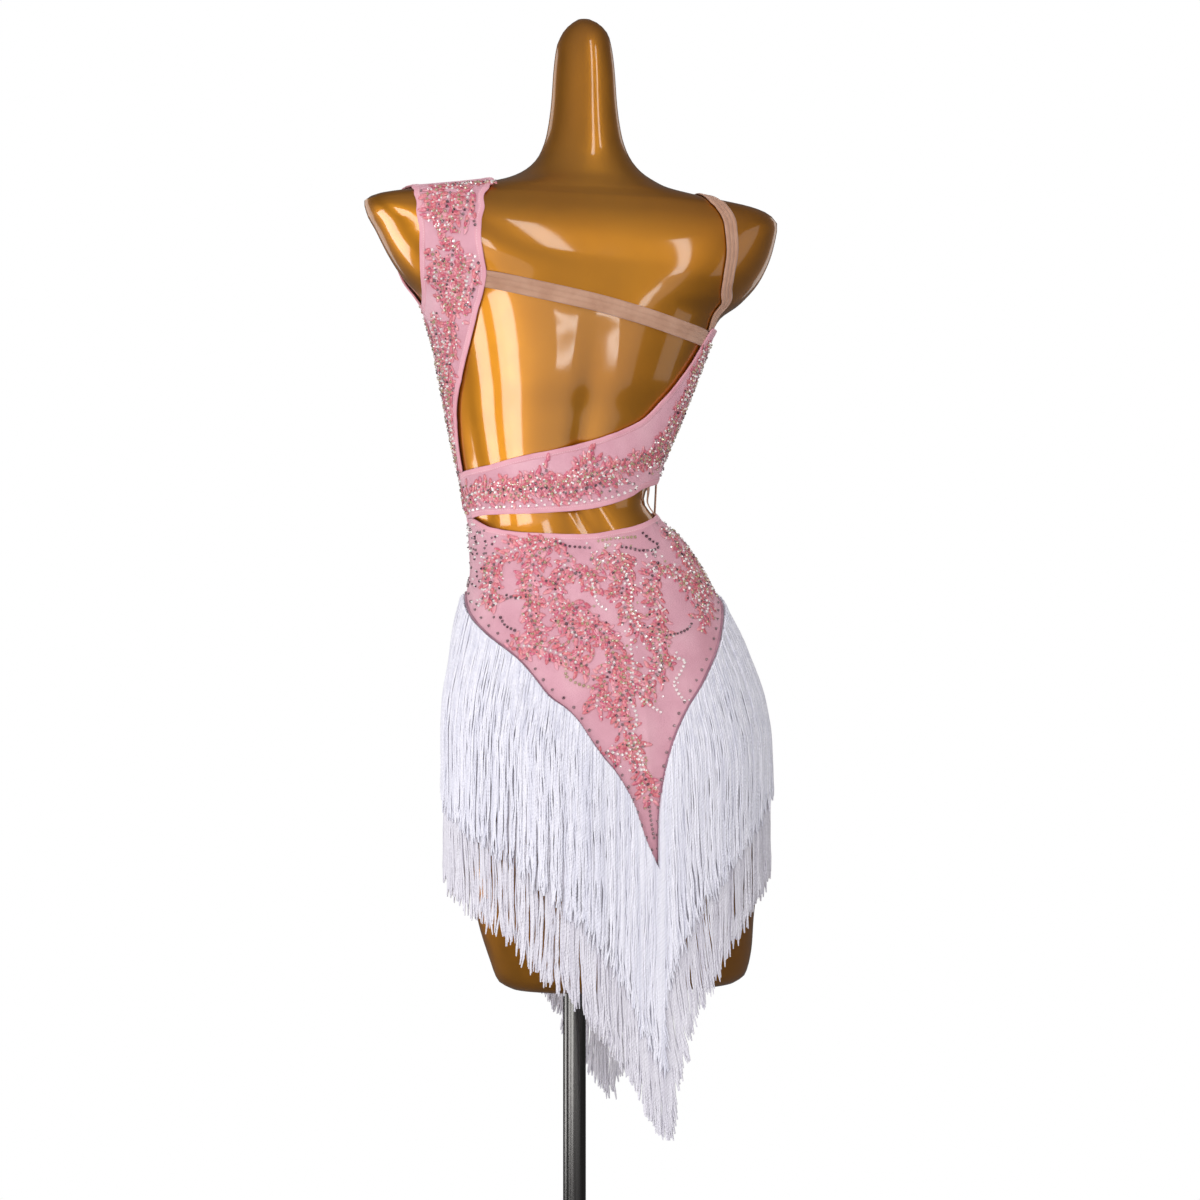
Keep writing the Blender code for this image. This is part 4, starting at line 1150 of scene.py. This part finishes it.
class Trim:
    """The leaves and stones of one cut piece, with a tint on each of them."""

    def __init__(self, name, seed, inside):
        self.name, self.random, self.inside = name, random.Random(seed), inside
        self.leaves, self.stones = Batches("tint", "rim"), Batches("tint")

    def leaf(self, spot, heading, length, width):
        """A pointed, cupped sequin that starts at a spot and leans away from the cloth at its tip."""
        middle = spot.moved(heading, length / 2, TRIM_LIFT)
        if not self.inside(middle):
            return
        ahead = middle.around * math.cos(heading) + middle.up * math.sin(heading)
        beside = middle.out.cross(ahead)
        tint, lean = self.random.random(), self.random.uniform(0.1, 0.5)
        shape, (tints, rims) = self.leaves.next_batch()
        made = bmesh.ops.create_uvsphere(shape, u_segments=6, v_segments=4, radius=1)
        for vertex in made["verts"]:
            x, y, z = vertex.co
            side = x * (1 - 0.3 * z) * width / 2
            cup = lean * length * LEAF_CUP * (z + 1) ** 2 / 4 + x * x * width * LEAF_CUP
            height = y * LEAF_THICKNESS / 2 + cup
            vertex.co = middle.point + ahead * (z * length / 2) + beside * side + middle.out * height
            vertex[tints] = tint
            vertex[rims] = max(abs(x), abs(z) ** 3)

    def stone(self, spot, radius, tint):
        """A faceted stone that sits on the cloth."""
        spot = Spot(spot.angle, spot.way, TRIM_LIFT)
        if not self.inside(spot):
            return
        turn = self.random.uniform(0, math.pi)
        shape, (tints,) = self.stones.next_batch()
        made = bmesh.ops.create_cone(
            shape, cap_ends=True, segments=STONE_SIDES, radius1=radius, radius2=radius * 0.5, depth=radius
        )
        first = spot.around * math.cos(turn) + spot.up * math.sin(turn)
        second = spot.out.cross(first)
        shown = min(max(tint + self.random.uniform(*TINT_SPREAD), 0), 1)
        for vertex in made["verts"]:
            x, y, z = vertex.co
            vertex.co = spot.point + first * x + second * y + spot.out * (z + radius * 0.55)
            vertex[tints] = shown

    def any_tint(self):
        return self.random.choice((DARK, SMOKE, SMOKE, GOLD, GOLD, PALE, PALE, PALE, PALE))

    def stem(self, line, spacing):
        """Leaves on both sides of a stem, with stones between them and loose petals further out."""
        at = along(line)
        count = max(round(at.length / spacing), 2)
        spots = [Spot(*at(i / count)) for i in range(count + 1)]
        heading = 0.0
        for i, here in enumerate(spots):
            if i < count:
                heading = here.heading_to(spots[i + 1])
            for side in (-1, 1):
                fan = heading + side * math.radians(self.random.uniform(*LEAF_FAN))
                foot = here.moved(heading + side * math.pi / 2, self.random.uniform(*LEAF_FOOT) * MM)
                length = self.random.uniform(*LEAF_LENGTH)
                self.leaf(foot, fan, length, length * self.random.uniform(*LEAF_WIDTH))
                if self.random.random() < OUTER_LEAVES:
                    outer = here.moved(fan, self.random.uniform(*OUTER_REACH) * MM)
                    length = self.random.uniform(*LEAF_LENGTH) * 0.9
                    self.leaf(outer, fan + self.random.uniform(*OUTER_TURN), length, length * 0.52)
                if self.random.random() < TIP_STONES:
                    tip = here.moved(fan, length * self.random.uniform(1.0, 1.5))
                    self.stone(tip, self.random.uniform(*SMALL_STONE), self.any_tint())
                if self.random.random() < SIDE_STONES:
                    beside = here.moved(fan + side * 0.5, length * self.random.uniform(0.4, 0.9))
                    self.stone(beside, self.random.uniform(*SMALL_STONE) * 0.85, self.any_tint())
            self.stone(here, self.random.uniform(*STONE), self.any_tint())
            if self.random.random() < FLOWERS:
                away = self.random.uniform(0, 2 * math.pi)
                self.flower(here.moved(away, self.random.uniform(*FLOWER_REACH) * MM))

    def stems(self, lines, spacing=LEAF_SPACING):
        for line in lines:
            self.stem(line, spacing)

    def flower(self, spot):
        """Short petals round a stone."""
        first = self.random.uniform(0, 2 * math.pi)
        for k in range(PETALS):
            heading = first + 2 * math.pi * k / PETALS
            length = self.random.uniform(*PETAL_LENGTH) * MM
            self.leaf(spot.moved(heading, PETAL_FOOT), heading, length, PETAL_WIDTH)
        self.stone(spot, STONE[1], GOLD)

    def row(self, tint, line, spacing=STONE_SPACING):
        at = along(line)
        count = max(round(at.length / spacing), 2)
        for i in range(count + 1):
            self.stone(Spot(*at(i / count)), self.random.uniform(*STONE), tint)

    def rows(self, rows):
        for tint, line in rows:
            self.row(tint, line)

    def edge_rows(self, runs):
        """Stones along the fringe's seam."""
        for run in runs:
            self.row(SMOKE, [(angle, height + EDGE_ROW_RISE) for angle, height in run], EDGE_ROW_SPACING)

    def scatter(self, angles, heights, count, *tints):
        for _ in range(count):
            angle = self.random.uniform(*angles)
            spot = Spot(angle, way_up(self.random.uniform(*heights)))
            self.stone(spot, self.random.uniform(*SMALL_STONE), self.random.choice(tints))

    def pieces(self, sequin, glass):
        """All the leaves as one piece and all the stones as another."""
        slot = "pink_stretch"
        leaves = add_piece(self.name + "_sequins", self.leaves.all_together(), sequin, slot)
        stones = add_piece(self.name + "_stones", self.stones.all_together(), glass, slot, smooth=False)
        return [leaves, stones]


def inside_lines(lower, upper, margin):
    """Test for a spot between two lines, clear of both by a margin."""

    def inside(spot):
        low, high = way_up(lower(spot.angle)), way_up(upper(spot.angle))
        return low + margin / spot.per_way < spot.way < high - margin / spot.per_way

    return inside


def inside_strap(spot):
    """Test for a spot between the strap's two edges. Over the ridge of the shoulder any spot counts."""
    if spot.way > way_up(RIDGE_HEIGHT):
        return True
    height = SECTION[0].at(spot.way)
    outer, inner = (Curve([h for _, h in line], [a for a, _ in line]) for line in (STRAP_OUTER, STRAP_INNER))
    margin = BAND_MARGIN / spot.per_degree
    first = outer.at(height) + (margin if height > ARMHOLE_FOOT else 0)
    return first < spot.angle < inner.at(height) - margin


def to_front(angle, height):
    """The place on the front yoke that matches a place on the back yoke."""
    if angle > BACK_TIP:
        turned = FRONT_TIP - (angle - BACK_TIP) * (FRONT_TIP - RIGHT_SEAM) / (RIGHT_SEAM - BACK_TIP)
    else:
        turned = FRONT_TIP + (BACK_TIP - angle) * (FAR_LEFT - FRONT_TIP) / (BACK_TIP - LEFT_SEAM)
    return turned, FRONT_WAIST_LEVEL + (height - BACK_WAIST_LEVEL) * 0.99


def trims(sequin, glass):
    """The leaves and stones of each cut piece, by node."""
    back = Trim("back_yoke", 11, inside_lines(line_of(*BACK_V), line_of(*BACK_YOKE_TOP), YOKE_MARGIN))
    back.stems(BACK_YOKE_STEMS)
    back.rows(BACK_YOKE_ROWS)
    back.scatter((-3, 34), (972, 1060), 95, DARK, SMOKE, PALE, PALE)
    back.scatter((140, 178), (985, 1060), 70, DARK, GOLD, SMOKE, PALE)
    back.scatter((80, 125), (1000, 1044), 45, SMOKE, GOLD, PALE, PALE)
    back.scatter((84, 112), (870, 1000), 55, GOLD, PALE, PALE)
    back.edge_rows(BACK_V)

    front = Trim("front_yoke", 12, inside_lines(line_of(*FRONT_V), line_of(*FRONT_YOKE_TOP), YOKE_MARGIN))
    front.stems([to_front(*place) for place in line] for line in BACK_YOKE_STEMS)
    front.rows((tint, [to_front(*place) for place in line]) for tint, line in BACK_YOKE_ROWS)
    front.edge_rows(FRONT_V)
    front.scatter((320, 355), (975, 1060), 80, DARK, SMOKE, PALE)
    front.scatter((182, 205), (985, 1060), 60, DARK, SMOKE, PALE)

    band = Trim("wrap_band", 13, inside_lines(line_of(*BAND_BOTTOM), line_of(BAND_TOP), BAND_MARGIN))
    band.stems(BAND_STEMS)
    band.row(PALE, [(8, 1074), (28, 1076), (57, 1077), (84, 1079), (112, 1086), (133, 1097)], 8 * MM)
    band.scatter((100, 135), (1090, 1112), 26, SMOKE, SMOKE, PALE)
    band.scatter((148, 178), (1112, 1262), 80, SMOKE, GOLD, PALE)

    strap = Trim("left_strap", 14, inside_strap)
    strap.stems(STRAP_STEMS, LEAF_SPACING * 0.85)
    strap.row(DARK, [(57, 1352), (55, 1330), (52, 1316), (46, 1297), (38, 1275)], 10 * MM)
    strap.row(PALE, [(40, 1385), (36, 1360), (32, 1340), (26, 1318)], 12 * MM)
    strap.scatter((-3, 5), (1130, 1262), 26, SMOKE, PALE)

    chest = line_of(FRONT_NECKLINE, FRONT_STRAP_FOOT)
    under_chest = inside_lines(line_of(*FRONT_WAIST), chest, BODICE_MARGIN)

    def inside_bodice(spot):
        on_strap = spot.angle > NECK_CORNER + 6 and spot.way > way_up(FRONT_STRAP_LEVEL)
        return on_strap or under_chest(spot)

    bodice = Trim("bodice", 15, inside_bodice)
    bodice.stems(BODICE_STEMS, LEAF_SPACING * 1.1)
    bodice.scatter((184, 352), (1080, 1255), 260, DARK, SMOKE, GOLD, PALE)

    nodes = ("yoke_back", "yoke_front", "back_band", "left_back_strap", "bodice_front")
    made = zip(nodes, (back, front, band, strap, bodice))
    return {node: trim.pieces(sequin, glass) for node, trim in made}


# --- fringe


def pushed_out(x, y, z, clear):
    """The point, moved out of the body's section at its height if it lies nearer than clear."""
    if z < FORM_SECTIONS[0][0] * MM:
        return Vector((x, y, z))
    way = way_up(z / MM)
    across, back, half_width, half_depth = (curve.at(way) * MM for curve in SECTION[1:5])
    east, north = x - across, y - back
    rise = swell(math.degrees(math.atan2(north / half_depth, east / half_width)), z / MM, True) * MM
    reach = math.hypot(east / (half_width + rise + clear), north / (half_depth + rise + clear))
    share = max(1 / reach, 1)
    return Vector((across + east * share, back + north * share, z))


def strand(spot, length, clear, rng, sway, draw):
    """Points of one strand. It drifts by sway at random and by draw towards its bunch, and its end curls."""
    seam = spot.point + spot.out * clear
    for step in range(math.ceil((FRINGE_TOP - seam.z) / STRAND_STEP)):
        seam.xy = pushed_out(seam.x, seam.y, FRINGE_TOP - step * STRAND_STEP, clear).xy
    steps = math.ceil(length / STRAND_STEP)
    points, place = [seam.copy()], seam.copy()
    phase = rng.uniform(0, 100)
    curl_side = rng.uniform(-1, 1)
    for step in range(1, steps + 1):
        share = step / steps
        down = length * share
        stand_off = FRINGE_STAND_OFF * min(share * 5, 1)
        place = pushed_out(place.x, place.y, seam.z - down, clear + stand_off)
        drift = sway * noise.noise(Vector((phase, share * 2.2, 0))) * share**0.7 + draw * share**DRAW_POWER
        drift += CRIMP * noise.noise(Vector((phase, down / CRIMP_LENGTH, 5))) * min(share * 6, 1)
        lock = Vector((seam.x * 22, seam.y * 22, seam.z * 9 - down * 9))
        drift += LOCK_SWAY * noise.noise(lock) * share
        curl = CURL * max(0, (share - 1 + CURLED) / CURLED) * curl_side
        points.append(place + spot.around * (drift + curl) + spot.out * abs(curl) * 0.4)
    return points


def set_strand(curve, points, thick, number):
    """Adds a strand to a curve, with a slightly uneven thickness and a knotted end."""
    spline = curve.splines.new("POLY")
    spline.points.add(len(points) - 1)
    spline.points.foreach_set("co", [part for point in points for part in (*point, 1)])
    radii = [thick * (1 + 0.08 * math.sin(k * 1.7 + number)) for k in range(len(points))]
    radii[-2] *= 1.2
    radii[-1] *= 0.6
    spline.points.foreach_set("radius", radii)


def fringe_curtain(name, node, runs, swings, length, clear, spacing, seed, finish):
    """Many strands that hang from the runs of a V."""
    rng = random.Random(seed)
    curve = bpy.data.curves.new(name, "CURVE")
    curve.dimensions = "3D"
    curve.bevel_depth = STRAND_RADIUS
    curve.bevel_resolution = 0
    curve.use_fill_caps = True
    swing = Curve(*zip(*swings))
    for run in runs:
        at = along(run)
        count = round(at.length / spacing)
        bunch_left = 0
        for i in range(count):
            if bunch_left == 0:
                bunch_left = bunch_size = rng.randint(*STRANDS_IN_BUNCH)
                bunch_drift = rng.uniform(*BUNCH_DRIFT) * MM
                bunch_length = rng.uniform(*BUNCH_LENGTH) * MM
            offset = (bunch_left - (bunch_size + 1) / 2) * spacing
            bunch_left -= 1
            angle, way = at((i + rng.uniform(*STRAND_PLACE)) / count)
            lift = clear + rng.uniform(0, 1) * STRAND_SPREAD
            reach = length + bunch_length + rng.uniform(*STRAND_LENGTH) * MM
            spot = Spot(angle, way - SEWN_UNDER)
            reach = min(reach, spot.point.z - TAIL_END - (lift - clear) * TAIL_SLANT)
            swung = swing.at(angle) * MM * (length / LONG_FRINGE) ** DRAW_POWER
            draw = offset * 0.5 + bunch_drift + swung
            points = strand(spot, reach, lift, rng, rng.uniform(*STRAND_SWAY) * MM, draw)
            set_strand(curve, points, rng.uniform(*STRAND_THICKNESS), i)
    temporary = bpy.data.objects.new(name, curve)
    mesh = bpy.data.meshes.new_from_object(temporary)
    bpy.data.objects.remove(temporary)
    bpy.data.curves.remove(curve)
    mesh.materials.clear()
    mesh.materials.append(finish)
    mesh.shade_smooth()
    made = add_mesh(name, mesh, "white_fringe")
    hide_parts(node)
    return made


def fringe(long_finish, short_finish):
    """Two tiers at the back and two at the front, by node."""
    clear = EASE + STRAND_RADIUS
    long_tier = (LONG_FRINGE, clear, LONG_SPACING)
    short_tier = (SHORT_FRINGE, clear + STRAND_SPREAD + STRAND_RADIUS, SHORT_SPACING)
    rows = (
        ("long_back_strands", "fringe_long_back", BACK_V, BACK_SWING, *long_tier, 21, long_finish),
        ("long_front_strands", "fringe_long_front", FRONT_V, FRONT_SWING, *long_tier, 22, long_finish),
        ("short_back_strands", "fringe_short_back", BACK_V, BACK_SWING, *short_tier, 23, short_finish),
        ("short_front_strands", "fringe_short_front", FRONT_V, FRONT_SWING, *short_tier, 24, short_finish),
    )
    return {row[1]: fringe_curtain(*row) for row in rows}


# --- studio


def soft_box(name, turn, rise, distance, size, power, mirrored):
    """An area light aimed at the dress."""
    light = bpy.data.lights.new(name, "AREA")
    light.shape = "RECTANGLE"
    light.size, light.size_y = size
    light.energy = power
    made = put(name, light)
    made.visible_camera = False
    made.visible_glossy = mirrored
    level, tall = math.radians(VIEW_TURN - turn), math.radians(rise)
    way = Vector((math.sin(level) * math.cos(tall), math.cos(level) * math.cos(tall), math.sin(tall)))
    made.location = LIGHT_AIM + way * distance
    made.rotation_euler = way.to_track_quat("Z", "Y").to_euler()


def walls(nodes, direction, towards, *levels):
    """Light that grows from a dark level to a light one towards a direction."""
    facing = nodes.node("VectorMath", {0: direction, 1: towards}, operation="DOT_PRODUCT")
    stops = [(position, (level, level * 0.98, level)) for position, level in levels]
    return nodes.node("Background", {"Color": nodes.ramp(facing.outputs["Value"], *stops)}).outputs[0]


def room(scene, back, right):
    """A white backdrop, and what the gloss reflects: light behind the camera and dark beyond the dress."""
    world = bpy.data.worlds.new("studio")
    scene.world = world
    world.use_nodes = True
    nodes = Nodes(world.node_tree)
    backdrop = nodes.tree.nodes["Background"]
    backdrop.inputs["Color"].default_value = (1, 1, 1, 1)
    direction = nodes.node("TexCoord").outputs["Generated"]
    seen = nodes.node("LightPath").outputs
    lighting = walls(nodes, direction, back - right * 0.35 + Vector((0, 0, 0.25)), (0.0, 0.18), (0.8, 1.1))
    reflected = walls(nodes, direction, back + Vector((0, 0, 0.5)), (0.1, 0.08), (0.95, 0.22))
    off_dress = nodes.node("MixShader", {0: seen["Is Glossy Ray"], 1: lighting, 2: reflected}).outputs[0]
    whole = nodes.node("MixShader", {0: seen["Is Camera Ray"], 1: off_dress, 2: backdrop.outputs[0]})
    nodes.feed(nodes.tree.nodes["World Output"].inputs["Surface"], whole.outputs[0])


def paper_floor():
    """A round of pale paper, which the gloss doesn't reflect."""
    paper = Finish("pale_floor", Roughness=0.7)
    tone = paper.noise(paper.place(1.0), 3.0, 2.0)
    paper.set("Base Color", paper.ramp(tone, (0.3, (0.80, 0.80, 0.80)), (0.7, (0.84, 0.84, 0.84))))
    shape = bmesh.new()
    bmesh.ops.create_circle(shape, cap_ends=True, segments=ROUND_SIDES, radius=FLOOR_RADIUS)
    floor = put("floor", mesh_from("floor", shape, paper.material))
    floor.visible_glossy = False


def studio():
    """A plain pale floor, a white backdrop, soft boxes and the camera behind the dress."""
    scene = bpy.context.scene
    scene.view_settings.view_transform = "Standard"
    paper_floor()
    view = math.radians(VIEW_TURN)
    back = Vector((math.sin(view), math.cos(view), 0))
    right = Vector((-math.cos(view), math.sin(view), 0))
    room(scene, back, right)
    for light in LIGHTS:
        soft_box(*light)
    lens = bpy.data.cameras.new("camera")
    lens.lens = LENS
    lens.sensor_width = SENSOR
    camera = put("camera", lens)
    camera.location = back * CAMERA_DISTANCE + right * CAMERA_ASIDE + Vector((0, 0, CAMERA_HEIGHT))
    camera.rotation_euler = (math.pi / 2, 0, math.pi - view)
    scene.camera = camera


# --- the whole dress


def declare_sheets(trim, bindings, sewn_on):
    """Gathers, for each stretch cloth, its trims, bound edges and the pieces sewn to it; the list is not used
    further.
    """
    for node, flat, area, edges in SHEETS:
        with_pieces = [*trim[node], *(bindings[name] for name in edges), *sewn_on.get(node, ())]


def main():
    dress_form(gold_finish())
    stand()
    pink = cloth_finish("pink_stretch", (0.64, 0.31, 0.375), (0.72, 0.37, 0.445), (0.79, 0.45, 0.515))
    binding = binding_finish()
    cloth = dress(pink)
    bindings = bound_edges(binding)
    narrow_elastics = elastics(elastic_finish())
    trim = trims(leaf_finish(), stone_finish())
    # The long tier's tones are a little darker and greyer than the short tier's; the lilac of both darker
    # tones is painted shade.
    long_yarn = fringe_finish("lilac_shaded_white_fringe", (0.58, 0.56, 0.63), (0.745, 0.73, 0.785))
    short_yarn = fringe_finish("white_fringe", (0.65, 0.65, 0.74), (0.80, 0.795, 0.86))
    strands = fringe(long_yarn, short_yarn)
    seams = fringe_seams(seam_finish())
    sewn_on = {"back_band": narrow_elastics}
    for side in ("back", "front"):
        tiers = [strands["fringe_long_" + side], strands["fringe_short_" + side]]
        sewn_on["yoke_" + side] = [*tiers, seams["yoke_" + side]]
    declare_sheets(trim, bindings, sewn_on)
    studio()


main()
